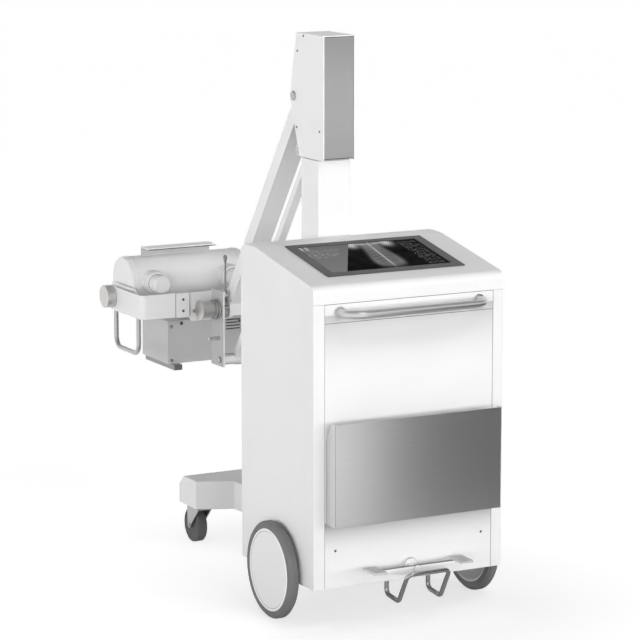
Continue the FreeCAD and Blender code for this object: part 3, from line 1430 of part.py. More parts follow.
tilt_profile = [
    (-S.knob_seat, size(0)),
    (-S.knob_seat, tilt_bore),
    (size(0), tilt_bore),
    (size(0), S.tilt_knob_radius),
    (-S.tilt_knob_length + S.sheet / 2, S.tilt_knob_radius),
    (-S.tilt_knob_length, S.tilt_knob_radius - S.sheet / 2),
    (-S.tilt_knob_length, size(0)),
]
sub_part("tilt_knob", turned("x", tilt_profile, fork_left - S.touch_gap, tilt_y, tilt_z))
plunger_profile = [
    (S.bracket_plate + S.touch_gap, size(0)),
    (S.bracket_plate + S.touch_gap, S.plunger_radius / 2),
    (size(0), S.plunger_radius / 2),
    (size(0), S.plunger_radius),
    (-S.plunger_length / 2, S.plunger_radius),
    (-S.plunger_length / 2 - S.sheet, S.plunger_radius - S.sheet),
    (-S.plunger_length + 2 * S.sheet, S.plunger_radius - S.sheet),
    (-S.plunger_length + S.sheet, S.plunger_radius),
    (-S.plunger_length, S.plunger_radius),
    (-S.plunger_length, size(0)),
]
sub_part("index_plunger", turned("x", plunger_profile, knob_start, plunger_y, plunger_z))
grip_start = S.lever_length - S.lever_grip
lever_profile = [
    (size(0), size(0)),
    (size(0), S.lever_radius),
    (grip_start, S.lever_radius),
    (grip_start + S.lever_grip / 2, S.lever_grip_radius - S.sheet / 2),
    (S.lever_length - S.lever_grip_radius, S.lever_grip_radius),
    (S.lever_length - S.lever_radius, S.lever_grip_radius - S.sheet / 2),
    (S.lever_length, S.lever_radius),
    (S.lever_length, size(0)),
]
eye_half = S.lever_radius - S.touch_gap
lever_eye = cylinder("x", (lever_y, lever_z), S.lever_eye_radius,
                     -S.lever_side - eye_half, -S.lever_side + eye_half)
lever_bore = cylinder("x", (lever_y, lever_z), S.lever_pin_radius + S.running_gap,
                      -S.lever_side - 2 * S.lever_radius, -S.lever_side + 2 * S.lever_radius)
lever_rod = turned("z", lever_profile, -S.lever_side, lever_y, lever_z)
sub_part("release_lever", cut(fuse(lever_rod, lever_eye), lever_bore))


# Tube housing, its end caps and the two high-voltage ports
body_half = S.tube_half_length - S.tube_cap
raised = S.tube_radius + S.tube_band_step
housing_profile = [
    (-body_half, S.tube_radius - S.tube_wall),
    (-body_half, raised),
    (-body_half + S.tube_band, raised),
    (-body_half + S.tube_band, S.tube_radius),
    (body_half - S.tube_band, S.tube_radius),
    (body_half - S.tube_band, raised),
    (body_half, raised),
    (body_half, S.tube_radius - S.tube_wall),
]
sub_part("tube_housing", turned("x", housing_profile, tube_x, tilt_y, tube_z))


def tube_end_cap(side):
    inner = side * body_half
    outer = side * S.tube_half_length
    edge = side * S.tube_cap_edge
    profile = [
        (inner, size(0)),
        (inner, S.tube_radius),
        (outer - edge, S.tube_radius),
        (outer - edge / 4, S.tube_radius - S.tube_cap_edge / 2),
        (outer, S.tube_radius - 1.4 * S.tube_cap_edge),
        (outer, size(0)),
    ]
    return turned("x", profile, tube_x, tilt_y, tube_z)


sub_part("tube_end_caps", group(tube_end_cap(-1), tube_end_cap(1)))


def port(side):
    """High-voltage port: base ring cut to the round housing, and a lipped cap."""
    x = tube_x + side * S.port_side
    z = tube_z + S.port_rise
    base = S.port_base_reach
    lip = S.port_lip
    profile = [
        (-S.port_reach, size(0)),
        (-S.port_reach, S.port_cap_radius - lip),
        (-S.port_reach + lip, S.port_cap_radius),
        (-base - 4 * lip, S.port_cap_radius),
        (-base - 4 * lip, S.port_cap_radius + 2 * lip),
        (-base - lip, S.port_cap_radius + 2 * lip),
        (-base, S.port_base_radius),
        (size(0), S.port_base_radius),
        (size(0), size(0)),
    ]
    solid = turned("y", profile, x, tilt_y, z)
    barrel = cylinder("x", (tilt_y, tube_z), S.tube_radius, x - 2 * S.port_base_radius,
                      x + 2 * S.port_base_radius)
    return cut(solid, barrel)


sub_part("voltage_ports", group(port(-1), port(1)))


def make_top_bracket():
    """Folded rail on top of the tube: a web on the housing and a pointed flange."""
    rail_left = tube_x - S.top_rail_left
    rail_right = tube_x + S.top_rail_right
    web_y = (tilt_y - S.top_rail_back, tilt_y - S.top_rail_back + S.top_rail_sheet)
    top = tube_z + S.top_rail_height
    web = box((rail_left, rail_right), web_y, (tube_z, top))
    near = web_y[1] - S.top_rail_width
    flange = prism("z", [(rail_left, near), (rail_right - S.top_rail_point, near), (rail_right, near + S.top_rail_point),
                         (rail_right, web_y[1]), (rail_left, web_y[1])], (top - S.top_rail_sheet, top))
    barrel = cylinder("x", (tilt_y, tube_z), S.tube_radius, rail_left - S.sheet, rail_right + S.sheet)
    return cut(fuse(web, flange), barrel)


sub_part("top_bracket", make_top_bracket())

# Carrier: side plates on trunnions, and the saddle plate between tube and collimator
plate_outer = S.carrier_side
plate_inner = S.carrier_side - S.carrier_plate
saddle_top = tube_z - raised - S.touch_gap
saddle_low = saddle_top - S.saddle_plate


def make_carrier():
    side_view = [
        (tilt_y - S.carrier_front, tilt_z - S.carrier_bottom),
        (tilt_y - S.carrier_front, tilt_z - S.carrier_low_top),
        (tilt_y - S.carrier_step, tilt_z + S.carrier_top),
        (tilt_y + S.carrier_back, tilt_z + S.carrier_top),
        (tilt_y + S.carrier_back, tilt_z - S.carrier_bottom),
    ]
    pieces = []
    for way in (-1, 1):
        inner = tube_x + way * plate_inner
        outer = tube_x + way * plate_outer
        reach = (inner, outer) if way > 0 else (outer, inner)
        pieces.append(prism("x", side_view, reach))
        fork_inner = tube_x + way * (S.fork_half_width - S.fork_sheet - S.touch_gap)
        fork_outer = tube_x + way * S.fork_half_width + min(way, 0) * S.knob_seat
        collar = (outer, fork_inner) if way > 0 else (fork_inner, outer)
        pin = (outer, fork_outer) if way > 0 else (fork_outer, outer)
        pieces.append(cylinder("x", (tilt_y, tilt_z), S.trunnion_collar, *collar))
        pieces.append(cylinder("x", (tilt_y, tilt_z), S.trunnion_radius, *pin))
    saddle = box(span(tube_x, plate_inner), span(tilt_y, S.saddle_depth / 2), (saddle_low, saddle_top))
    cradle = cut(box(span(tube_x, S.cradle_half_length), span(tilt_y, S.cradle_half_depth),
                     (saddle_top, saddle_top + S.cradle_height)),
                 cylinder("x", (tilt_y, tube_z), S.tube_radius, tube_x - 2 * S.cradle_half_length,
                          tube_x + 2 * S.cradle_half_length))
    neck = cylinder("z", (beam_x, tilt_y), S.neck_radius, collimator_top_z + S.touch_gap, saddle_low)
    bore = cylinder("z", (beam_x, tilt_y), S.spigot_radius + S.running_gap, collimator_top_z,
                    collimator_top_z + S.spigot_length + S.sheet)
    return cut(fuse(saddle, cradle, neck, *pieces), bore)


sub_part("tube_carrier", make_carrier())
grip_x = tube_x - plate_outer + S.carrier_plate / 2
grip_points = [
    (grip_x, tilt_y - S.grip_front, tilt_z - S.carrier_bottom),
    (grip_x, tilt_y - S.grip_front, tilt_z - S.grip_drop),
    (grip_x, tilt_y + S.grip_back, tilt_z - S.grip_drop),
    (grip_x, tilt_y + S.grip_back, tilt_z - S.carrier_bottom),
]
sub_part("tube_grip", bent_tube(grip_points, S.grip_bend, S.grip_radius))


# Collimator
def make_collimator():
    """Hollow housing with a beam window below, cooling slots in front and a spigot on top."""
    wall = S.collimator_wall
    reach_x = span(beam_x, S.collimator_half_width)
    outside = box(reach_x, (collimator_front, collimator_back), (collimator_bottom_z, collimator_top_z))
    inside = box((reach_x[0] + wall, reach_x[1] - wall), (collimator_front + wall, collimator_back - wall),
                 (collimator_bottom_z + wall, collimator_top_z - wall))
    window = box(span(beam_x, S.window_half), span(tilt_y, S.window_half),
                 (collimator_bottom_z - wall, collimator_bottom_z + 2 * wall))
    slots = [box((beam_x + S.grille_left, beam_x + S.grille_right),
                 (collimator_front - wall, collimator_front + 2 * wall),
                 (collimator_top_z - (step + 1) * S.grille_pitch - S.grille_slot,
                  collimator_top_z - (step + 1) * S.grille_pitch)) for step in range(4)]
    spigot = cylinder("z", (beam_x, tilt_y), S.spigot_radius, collimator_top_z - wall,
                      collimator_top_z + S.spigot_length)
    shafts = [cylinder("y", (beam_x + side * S.knob_side, collimator_top_z - S.knob_drop),
                       S.plunger_radius / 2, collimator_back - wall, collimator_back + S.knob_length / 2)
              for side in (-1, 1)]
    button_hole = cylinder("y", (beam_x, collimator_top_z - S.knob_drop), S.button_radius + S.touch_gap,
                           collimator_back - 2 * wall, collimator_back + wall)
    return fuse(cut(outside, inside, window, button_hole, *slots), spigot, *shafts)


sub_part("collimator_housing", make_collimator())
pane_top = collimator_bottom_z + S.collimator_wall
sub_part("beam_window", box(span(beam_x, S.window_half), span(tilt_y, S.window_half),
                            (collimator_bottom_z + S.sheet / 4, pane_top)))


def accessory_rail(side):
    """Rail under the long edge of the housing, with a groove towards the beam that is open at the far end."""
    outer = beam_x + side * (S.collimator_half_width - S.rail_inset)
    inner = outer - side * S.rail_width
    reach = (inner, outer) if side > 0 else (outer, inner)
    rail = box(reach, (collimator_front - S.rail_over, collimator_back),
               (collimator_bottom_z - S.rail_height, collimator_bottom_z))
    groove_x = (inner - S.sheet, inner + S.rail_width / 2) if side > 0 else (inner - S.rail_width / 2, inner + S.sheet)
    groove = box(groove_x, (collimator_front - S.rail_over + S.rail_stop, collimator_back + S.sheet),
                 (collimator_bottom_z - S.rail_height + S.rail_groove, collimator_bottom_z - S.rail_groove / 2))
    return cut(rail, groove)


sub_part("accessory_rails", group(accessory_rail(-1), accessory_rail(1)))


def collimator_knob(side):
    bore = S.plunger_radius / 2 + S.running_gap
    profile = [
        (S.touch_gap, bore),
        (S.touch_gap, S.knob_radius),
        (S.knob_length - S.sheet, S.knob_radius - S.sheet / 2),
        (S.knob_length + S.touch_gap, S.knob_radius - S.sheet),
        (S.knob_length + S.touch_gap, size(0)),
        (S.knob_length / 2 + S.sheet, size(0)),
        (S.knob_length / 2 + S.sheet, bore),
    ]
    return turned("y", profile, beam_x + side * S.knob_side, collimator_back, collimator_top_z - S.knob_drop)


sub_part("collimator_knob_left", collimator_knob(-1))
sub_part("collimator_knob_right", collimator_knob(1))
sub_part("lamp_button", cylinder("y", (beam_x, collimator_top_z - S.knob_drop), S.button_radius,
                                 collimator_back - S.collimator_wall, collimator_back + S.button_length))


def check_everything():
    """Stops before anything is written if an object failed or a piece is not a valid solid."""
    failed = [item.Name for item in doc.Objects if {"Invalid", "Error"} & set(item.State)]
    if failed:
        raise RuntimeError(f"these objects failed: {failed}")
    for item in sub_parts:
        shape = item.Shape
        if shape.isNull() or not shape.isValid() or not shape.Solids:
            raise RuntimeError(f"{item.Label} is not a valid solid")


doc.recompute()
check_everything()
os.makedirs("parts", exist_ok=True)
for item in sub_parts:
    item.Shape.exportStep(f"parts/{item.Label}.step")
everything = Part.makeCompound([item.Shape for item in sub_parts]).BoundBox
print(f"{len(sub_parts)} sub-parts, {everything.XLength:.1f} x {everything.YLength:.1f} x {everything.ZLength:.1f} mm")
print(f"centre {everything.Center.x:.2f} {everything.Center.y:.2f}, bottom {everything.ZMin:.3f}")
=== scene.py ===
from math import cos, exp, hypot, pi, radians, sin

import bmesh
import bpy
from mathutils import Matrix, Vector


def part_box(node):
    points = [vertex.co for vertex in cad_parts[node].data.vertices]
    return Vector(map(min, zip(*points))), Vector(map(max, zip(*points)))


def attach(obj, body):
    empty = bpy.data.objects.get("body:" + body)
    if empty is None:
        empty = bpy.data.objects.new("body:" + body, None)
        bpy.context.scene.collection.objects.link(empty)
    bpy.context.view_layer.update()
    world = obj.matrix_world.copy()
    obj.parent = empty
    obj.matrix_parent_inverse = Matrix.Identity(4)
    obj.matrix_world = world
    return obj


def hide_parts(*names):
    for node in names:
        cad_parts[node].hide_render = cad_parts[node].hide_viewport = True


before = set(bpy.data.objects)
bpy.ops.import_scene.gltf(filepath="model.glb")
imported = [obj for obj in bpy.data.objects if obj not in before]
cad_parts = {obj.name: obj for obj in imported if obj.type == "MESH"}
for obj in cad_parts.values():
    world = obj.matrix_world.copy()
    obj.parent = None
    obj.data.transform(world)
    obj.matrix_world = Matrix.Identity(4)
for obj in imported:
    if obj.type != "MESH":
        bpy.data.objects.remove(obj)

scene = bpy.context.scene
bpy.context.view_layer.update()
MM = 0.001

# Camera of the photograph: the machine is seen from the operator's left, a little above the handle
CAMERA_PLACE = (-3.6836, -7.0784, 2.1233)
CAMERA_TILT = 79.85
CAMERA_TURN = -27.943
CAMERA_LENS = 165.64

# Light of the studio: the band near the horizon, the sky above it and what the floor adds where it is seen
BAND_LIGHT = 4.25
BAND_TOP = 0.42
SKY_LIGHT = 0.18
FRONT_SHARE = 0.5
LEFT_SHARE = 0.2
FLOOR_COLOUR = 0.8
# Painted shadow on the floor near the machine: its colour there and the smaller lift there
FLOOR_PAINTED_SHADOW = 0.5
FLOOR_LIFT = 0.68
FLOOR_LIFT_IN_PAINTED_SHADOW = 0.64
SEEN_SKY = 0.4
SEEN_SKY_START = 0.15
SEEN_SKY_END = 0.85

# Surfaces: clouds, gloss patches and peel of enamel, scratches, turned and moulded rings, and the clear coat
CLOUD_SCALE = 5.0
GLOSS_SCALE = 28.0
PEEL_SCALE = 900.0
PEEL_DEPTH = 0.3 * MM
SCRATCH_DEPTH = 0.1 * MM
TURNING_ACROSS = 2600.0
TURNING_ALONG = 1800.0
MOULDING_RINGS = 2400.0
COAT_WEIGHT = 0.12
COAT_ROUGHNESS = 0.25


# Helpers for materials

class Finish:
    """A node material with short calls for the nodes that the finishes of the machine share."""

    def __init__(self, name):
        self.material = bpy.data.materials.new(name)
        self.material.use_nodes = True
        self.tree = self.material.node_tree
        self.shader = self.tree.nodes["Principled BSDF"]
        coordinates = self.add("ShaderNodeTexCoord")
        self.place = coordinates.outputs["Object"]
        self.normal = coordinates.outputs["Normal"]

    def add(self, kind, **values):
        node = self.tree.nodes.new(kind)
        for name, value in values.items():
            setattr(node, name, value)
        return node

    def link(self, source, target):
        self.tree.links.new(source, target)

    def fixed(self, **values):
        """Numbers and colours that are the same all over the surface."""
        for name, value in values.items():
            self.shader.inputs[name.replace("_", " ")].default_value = value
        return self

    def stretched(self, scale, offset=(0, 0, 0)):
        """Object coordinates, stretched or moved."""
        mapping = self.add("ShaderNodeMapping")
        mapping.inputs["Scale"].default_value = scale
        mapping.inputs["Location"].default_value = offset
        self.link(self.place, mapping.inputs["Vector"])
        return mapping.outputs["Vector"]

    def parts(self, centre=(0, 0, 0)):
        """Object coordinates as three outputs, measured from a place."""
        node = self.add("ShaderNodeSeparateXYZ")
        self.link(self.stretched((1, 1, 1), tuple(-value for value in centre)), node.inputs[0])
        return dict(zip("xyz", node.outputs))

    def radius(self, first, second):
        """Distance from an axis, out of the two coordinates across it."""
        squares = [self.maths("MULTIPLY", part, part) for part in (first, second)]
        return self.maths("SQRT", self.maths("ADD", *squares), 0.0)

    def noise(self, vector, scale, detail=2.0, roughness=0.5):
        node = self.add("ShaderNodeTexNoise")
        node.inputs["Scale"].default_value = scale
        node.inputs["Detail"].default_value = detail
        node.inputs["Roughness"].default_value = roughness
        self.link(vector, node.inputs["Vector"])
        return node.outputs["Fac"]

    def between(self, value, low, high, start=0.35, end=0.65):
        node = self.add("ShaderNodeMapRange")
        node.inputs["From Min"].default_value = start
        node.inputs["From Max"].default_value = end
        node.inputs["To Min"].default_value = low
        node.inputs["To Max"].default_value = high
        self.link(value, node.inputs["Value"])
        return node.outputs["Result"]

    def mixed(self, factor, first, second):
        node = self.add("ShaderNodeMix", data_type="RGBA")
        for socket, value in ((node.inputs[6], first), (node.inputs[7], second)):
            if isinstance(value, tuple):
                socket.default_value = (*value, 1)
            else:
                self.link(value, socket)
        self.link(factor, node.inputs[0])
        return node.outputs[2]

    def maths(self, operation, first, second):
        node = self.add("ShaderNodeMath", operation=operation)
        for socket, value in zip(node.inputs, (first, second)):
            if isinstance(value, (int, float)):
                socket.default_value = value
            else:
                self.link(value, socket)
        return node.outputs[0]

    def colour(self, output):
        self.link(output, self.shader.inputs["Base Color"])
        return self

    def rough(self, output):
        self.link(output, self.shader.inputs["Roughness"])
        return self

    def relief(self, height, strength, distance):
        bump = self.add("ShaderNodeBump")
        bump.inputs["Strength"].default_value = strength
        bump.inputs["Distance"].default_value = distance
        self.link(height, bump.inputs["Height"])
        self.link(bump.outputs["Normal"], self.shader.inputs["Normal"])
        return self


def shade(colour, factor):
    return tuple(min(1.0, part * factor) for part in colour)


def clouded(finish, colour, low=0.982, high=1.006):
    """A colour with the faint clouds of sprayed enamel."""
    cloud = finish.noise(finish.place, CLOUD_SCALE, 3.0)
    return finish.mixed(finish.between(cloud, 0, 1), shade(colour, low), shade(colour, high))


def baked(finish, roughness, peel):
    """Uneven gloss, a fine orange-peel surface and the clear coat of baked enamel."""
    gloss = finish.noise(finish.place, GLOSS_SCALE, 2.0)
    finish.rough(finish.between(gloss, roughness - 0.04, roughness + 0.05))
    finish.relief(finish.noise(finish.place, PEEL_SCALE, 2.0), peel, PEEL_DEPTH)
    return finish.fixed(Coat_Weight=COAT_WEIGHT, Coat_Roughness=COAT_ROUGHNESS).material


def powder_coat(name, colour, roughness=0.38, peel=0.12):
    """Baked enamel in one tone."""
    finish = Finish(name)
    finish.colour(clouded(finish, colour))
    return baked(finish, roughness, peel)


def painted_shade_below_enamel(name, low_colour, high_colour, height):
    """Baked enamel in two tones that meet at a height above the floor: the low tone is painted shade and the
    high tone is painted light.
    """
    finish = Finish(name)
    blend = 0.2 * MM
    step = finish.between(finish.parts()["z"], 0.0, 1.0, height - blend, height + blend)
    finish.colour(finish.mixed(step, clouded(finish, low_colour, 0.98, 1.0), high_colour))
    return baked(finish, 0.38, 0.0)


def painted_light_rising_enamel(name, low_colour, high_colour, low, high):
    """Baked enamel that grows paler between two heights above the floor, as painted shade below and painted
    light above.
    """
    finish = Finish(name)
    rise = finish.between(finish.parts()["z"], 0.0, 1.0, low, high)
    finish.colour(finish.mixed(rise, low_colour, high_colour))
    return baked(finish, 0.4, 0.14)


def painted_light_facing_enamel(name, side_colour, front_colour):
    """Baked enamel, painted paler on the faces that look to the operator as painted light, and darker on the
    other faces as painted shade.
    """
    finish = Finish(name)
    direction = finish.add("ShaderNodeSeparateXYZ")
    finish.link(finish.normal, direction.inputs[0])
    front = finish.between(direction.outputs["Y"], 1.0, 0.0, -0.9, -0.6)
    finish.colour(finish.mixed(front, clouded(finish, side_colour, high=1.0), front_colour))
    return baked(finish, 0.4, 0.14)


def painted_shade_enamel(name, colour, painted_shades):
    """Baked enamel with a painted soft shade below pieces that stand out; a shade is a height, a reach and a
    depth.
    """
    soft_edge = 3 * MM
    finish = Finish(name)
    tone = clouded(finish, colour)
    z = finish.parts()["z"]
    for height, reach, depth in painted_shades:
        rise = finish.between(z, 0.0, 1.0, height - reach, height)
        below = finish.between(z, 1.0, 0.0, height, height + soft_edge)
        amount = finish.maths("MULTIPLY", finish.maths("MULTIPLY", rise, rise), below)
        # Each shade is painted into the colour, darkest just under its height
        painted_shade_step = finish.add("ShaderNodeMix", data_type="RGBA", blend_type="MULTIPLY")
        finish.link(amount, painted_shade_step.inputs[0])
        finish.link(tone, painted_shade_step.inputs[6])
        painted_shade_step.inputs[7].default_value = (1 - depth, 1 - depth, 1 - depth, 1)
        tone = painted_shade_step.outputs[2]
    finish.colour(tone)
    return baked(finish, 0.42, 0.1)


def brushed_steel(name, colour, grain, roughness=0.34, scratch=0.25, contrast=0.08):
    """Sheet or bar ground in one direction; grain is the scale of its streaks along X, Y and Z."""
    finish = Finish(name)
    streaks = finish.noise(finish.stretched(grain), 1.0, 4.0, 0.65)
    cloud = finish.noise(finish.place, 7.0, 2.0)
    tone = finish.maths("ADD", finish.maths("MULTIPLY", streaks, 0.8), finish.maths("MULTIPLY", cloud, 0.2))
    finish.colour(finish.mixed(finish.between(tone, 0, 1, 0.3, 0.7), shade(colour, 1 - contrast),
                               shade(colour, 1 + contrast)))
    finish.rough(finish.between(streaks, roughness - 0.75 * contrast, roughness + 1.1 * contrast, 0.25, 0.75))
    finish.relief(streaks, scratch, SCRATCH_DEPTH)
    return finish.fixed(Metallic=1.0).material


def turned_steel(name, colour, axis, centre, roughness=0.3):
    """Steel turned on a lathe: fine rings round an axis through the centre."""
    finish = Finish(name)
    across = finish.parts(centre)
    along = across.pop(axis)
    joined = finish.add("ShaderNodeCombineXYZ")
    finish.link(finish.maths("MULTIPLY", finish.radius(*across.values()), TURNING_ACROSS), joined.inputs[0])
    finish.link(finish.maths("MULTIPLY", along, TURNING_ALONG), joined.inputs[1])
    rings = finish.noise(joined.outputs[0], 1.0, 3.0, 0.6)
    finish.colour(finish.mixed(finish.between(rings, 0, 1, 0.3, 0.7), shade(colour, 0.88), shade(colour, 1.06)))
    finish.rough(finish.between(rings, roughness - 0.05, roughness + 0.09, 0.3, 0.7))
    finish.relief(rings, 0.2, SCRATCH_DEPTH)
    return finish.fixed(Metallic=1.0).material


def polished_steel(name, colour, roughness=0.16):
    """Bright steel with faint handling marks."""
    finish = Finish(name)
    marks = finish.noise(finish.place, 60.0, 5.0, 0.7)
    finish.colour(finish.mixed(finish.between(marks, 0, 1), shade(colour, 0.96), shade(colour, 1.02)))
    finish.rough(finish.between(marks, roughness - 0.04, roughness + 0.07))
    return finish.fixed(Metallic=1.0).material


def wheel_rubber(name, colour, axis, centre, roughness=0.62):
    """Grey rubber with moulding rings, a fine grain and slightly dusty patches."""
    finish = Finish(name)
    grain = finish.noise(finish.place, 1500.0, 2.0)
    dust = finish.noise(finish.place, 18.0, 4.0, 0.6)
    across = finish.parts(centre)
    across.pop(axis)
    waves = finish.maths("MULTIPLY", finish.radius(*across.values()), MOULDING_RINGS)
    rings = finish.maths("SINE", waves, 0.0)
    height = finish.maths("ADD", finish.maths("MULTIPLY", rings, 0.35), grain)
    finish.colour(finish.mixed(finish.between(dust, 0, 1, 0.4, 0.75), colour, shade(colour, 1.22)))
    finish.rough(finish.between(grain, roughness - 0.08, roughness + 0.08))
    finish.relief(height, 0.25, 0.2 * MM)
    return finish.material


def moulded_plastic(name, colour, roughness=0.5, grain=1100.0, relief=0.3):
    """Moulded plastic with an eroded texture."""
    finish = Finish(name)
    texture = finish.noise(finish.place, grain, 3.0, 0.6)
    cloud = finish.noise(finish.place, 12.0, 2.0)
    finish.colour(finish.mixed(finish.between(cloud, 0, 1), shade(colour, 0.93), shade(colour, 1.06)))
    finish.rough(finish.between(texture, roughness - 0.07, roughness + 0.07))
    finish.relief(texture, relief, 0.2 * MM)
    return finish.material


def lit_glass(name, colour):
    """The display's face: near-black glass with faint smears."""
    finish = Finish(name)
    smears = finish.noise(finish.stretched((9, 3, 3)), 3.0, 4.0, 0.7)
    finish.colour(finish.mixed(finish.between(smears, 0, 1), colour, shade(colour, 1.35)))
    finish.rough(finish.between(smears, 0.2, 0.3))
    return finish.fixed(Specular_IOR_Level=0.0).material


def centre_of(node):
    low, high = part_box(node)
    return (low + high) / 2


# Places on the machine where painted light or painted shade changes the tone
TOP_BRACKET_LIP = 0.8246
PEDAL_BAR_HEIGHT = 23 * MM
PEDAL_BAR_DEPTH = 14 * MM
PEDAL_DISC_PROUD = 2 * MM
pedal_low, pedal_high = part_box("brake_pedal")
pedal_bar_top = pedal_low.z + PEDAL_BAR_HEIGHT
pocket_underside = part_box("detector_pocket")[0].z
handle_underside = centre_of("push_handle").z - 8 * MM

WHITE = (0.8, 0.8, 0.802)
WARM_STEEL = (0.64, 0.626, 0.608)

white_enamel = powder_coat("white_enamel", WHITE)
shell_enamel = powder_coat("white_shell_enamel", shade(WHITE, 1.01), 0.42, 0.1)
# Front panel and fascia: painted shade below the detector pocket and below the push handle
panel_painted_shade_enamel = painted_shade_enamel("panel_painted_shade_enamel", shade(WHITE, 1.01),
                             ((pocket_underside, 82 * MM, 0.64), (handle_underside, 190 * MM, 0.34)))
foot_enamel = powder_coat("foot_enamel", (0.76, 0.76, 0.76), 0.4, 0.14)
# Fork bracket: side faces painted darker as painted shade, front faces paler as painted light
bracket_painted_light_enamel = painted_light_facing_enamel("bracket_painted_light_enamel", shade(WHITE, 0.6), shade(WHITE, 1.02))
boss_enamel = powder_coat("boss_enamel", shade(WHITE, 0.93), 0.4, 0.14)
# Pedal bar: painted shade low on its face and painted light towards its top edge
pedal_painted_light_enamel = painted_light_rising_enamel("pedal_painted_light_enamel", shade(WHITE, 0.84), shade(WHITE, 1.2),
                             pedal_bar_top - 14 * MM, pedal_bar_top - 1 * MM)
# Top bracket: wall below the lip painted darker as painted shade under the overhang, lip painted paler as
# painted light
wall_painted_shade_enamel = painted_shade_below_enamel("wall_painted_shade_enamel", shade(WHITE, 0.7), shade(WHITE, 1.15), TOP_BRACKET_LIP)
inner_enamel = powder_coat("inner_enamel", (0.42, 0.42, 0.43), 0.5, 0.2)
collimator_enamel = powder_coat("collimator_enamel", (0.5, 0.5, 0.5), 0.36, 0.2)
pocket_steel = brushed_steel("pocket_steel", (0.7, 0.7, 0.7), (6, 900, 900), 0.31, 0.12, 0.05)
head_steel = brushed_steel("head_steel", (0.6, 0.6, 0.6), (9, 900, 900), 0.4, 0.12, 0.05)
handle_steel = brushed_steel("handle_steel", (0.66, 0.66, 0.655), (14, 1500, 1500), 0.34, 0.02, 0.02)
grip_steel = brushed_steel("grip_steel", (0.5, 0.5, 0.495), (1500, 1500, 14), 0.26, 0.03, 0.03)
tip_steel = brushed_steel("tip_steel", (0.58, 0.58, 0.58), (1500, 1500, 14), 0.15, 0.03, 0.03)
plate_steel = brushed_steel("plate_steel", (0.5, 0.5, 0.5), (500, 9, 500), 0.36, 0.1)
rail_steel = brushed_steel("rail_steel", (0.3, 0.3, 0.3), (900, 9, 900), 0.36, 0.1)
bright_steel = polished_steel("bright_steel", (0.48, 0.48, 0.48))
lever_steel = polished_steel("lever_steel", (0.3, 0.29, 0.28), 0.14)
cast_aluminium = brushed_steel("cast_aluminium", (0.6, 0.6, 0.61), (160, 160, 160), 0.45, 0.15)
socket_black = moulded_plastic("socket_black", (0.05, 0.05, 0.052), 0.45, 700.0, 0.15)
monitor_plastic = moulded_plastic("monitor_plastic", (0.075, 0.075, 0.077), 0.48)
battery_plastic = moulded_plastic("battery_plastic", (0.05, 0.05, 0.055), 0.55, 500.0, 0.4)
pad_rubber = moulded_plastic("pad_rubber", (0.6, 0.6, 0.6), 0.6, 1400.0, 0.4)
seal_rubber = moulded_plastic("seal_rubber", (0.07, 0.07, 0.07), 0.7, 900.0, 0.1)
# Grey of the painted shadow strip on the pedal bar
painted_shadow_grey = moulded_plastic("painted_shadow_grey", (0.24, 0.24, 0.24), 0.6, 900.0, 0.2)
screw_steel = polished_steel("screw_steel", (0.14, 0.14, 0.14), 0.35)
display_glass = lit_glass("display_glass", (0.012, 0.012, 0.014))


# Edges and finishes of the machine's own solids

JOIN_REACH = 0.00002
FLAT_ANGLE = 0.5


def soften(node, material, width=0.6, angle=33, segments=2):
    """Gives a solid its finish and small rounded edges; width is in millimetres."""
    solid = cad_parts[node]
    mesh = solid.data
    if "custom_normal" in mesh.attributes:
        mesh.attributes.remove(mesh.attributes["custom_normal"])
    mesh.polygons.foreach_set("use_smooth", [True] * len(mesh.polygons))
    weld = solid.modifiers.new("joined", "WELD")
    weld.merge_threshold = JOIN_REACH
    flat = solid.modifiers.new("whole_faces", "DECIMATE")
    flat.decimate_type = "DISSOLVE"
    flat.angle_limit = radians(FLAT_ANGLE)
    edges = solid.modifiers.new("rounded_edges", "BEVEL")
    edges.width = width * MM
    edges.segments = segments
    edges.limit_method = "ANGLE"
    edges.angle_limit = radians(angle)
    edges.harden_normals = True
    mesh.materials.clear()
    mesh.materials.append(material)


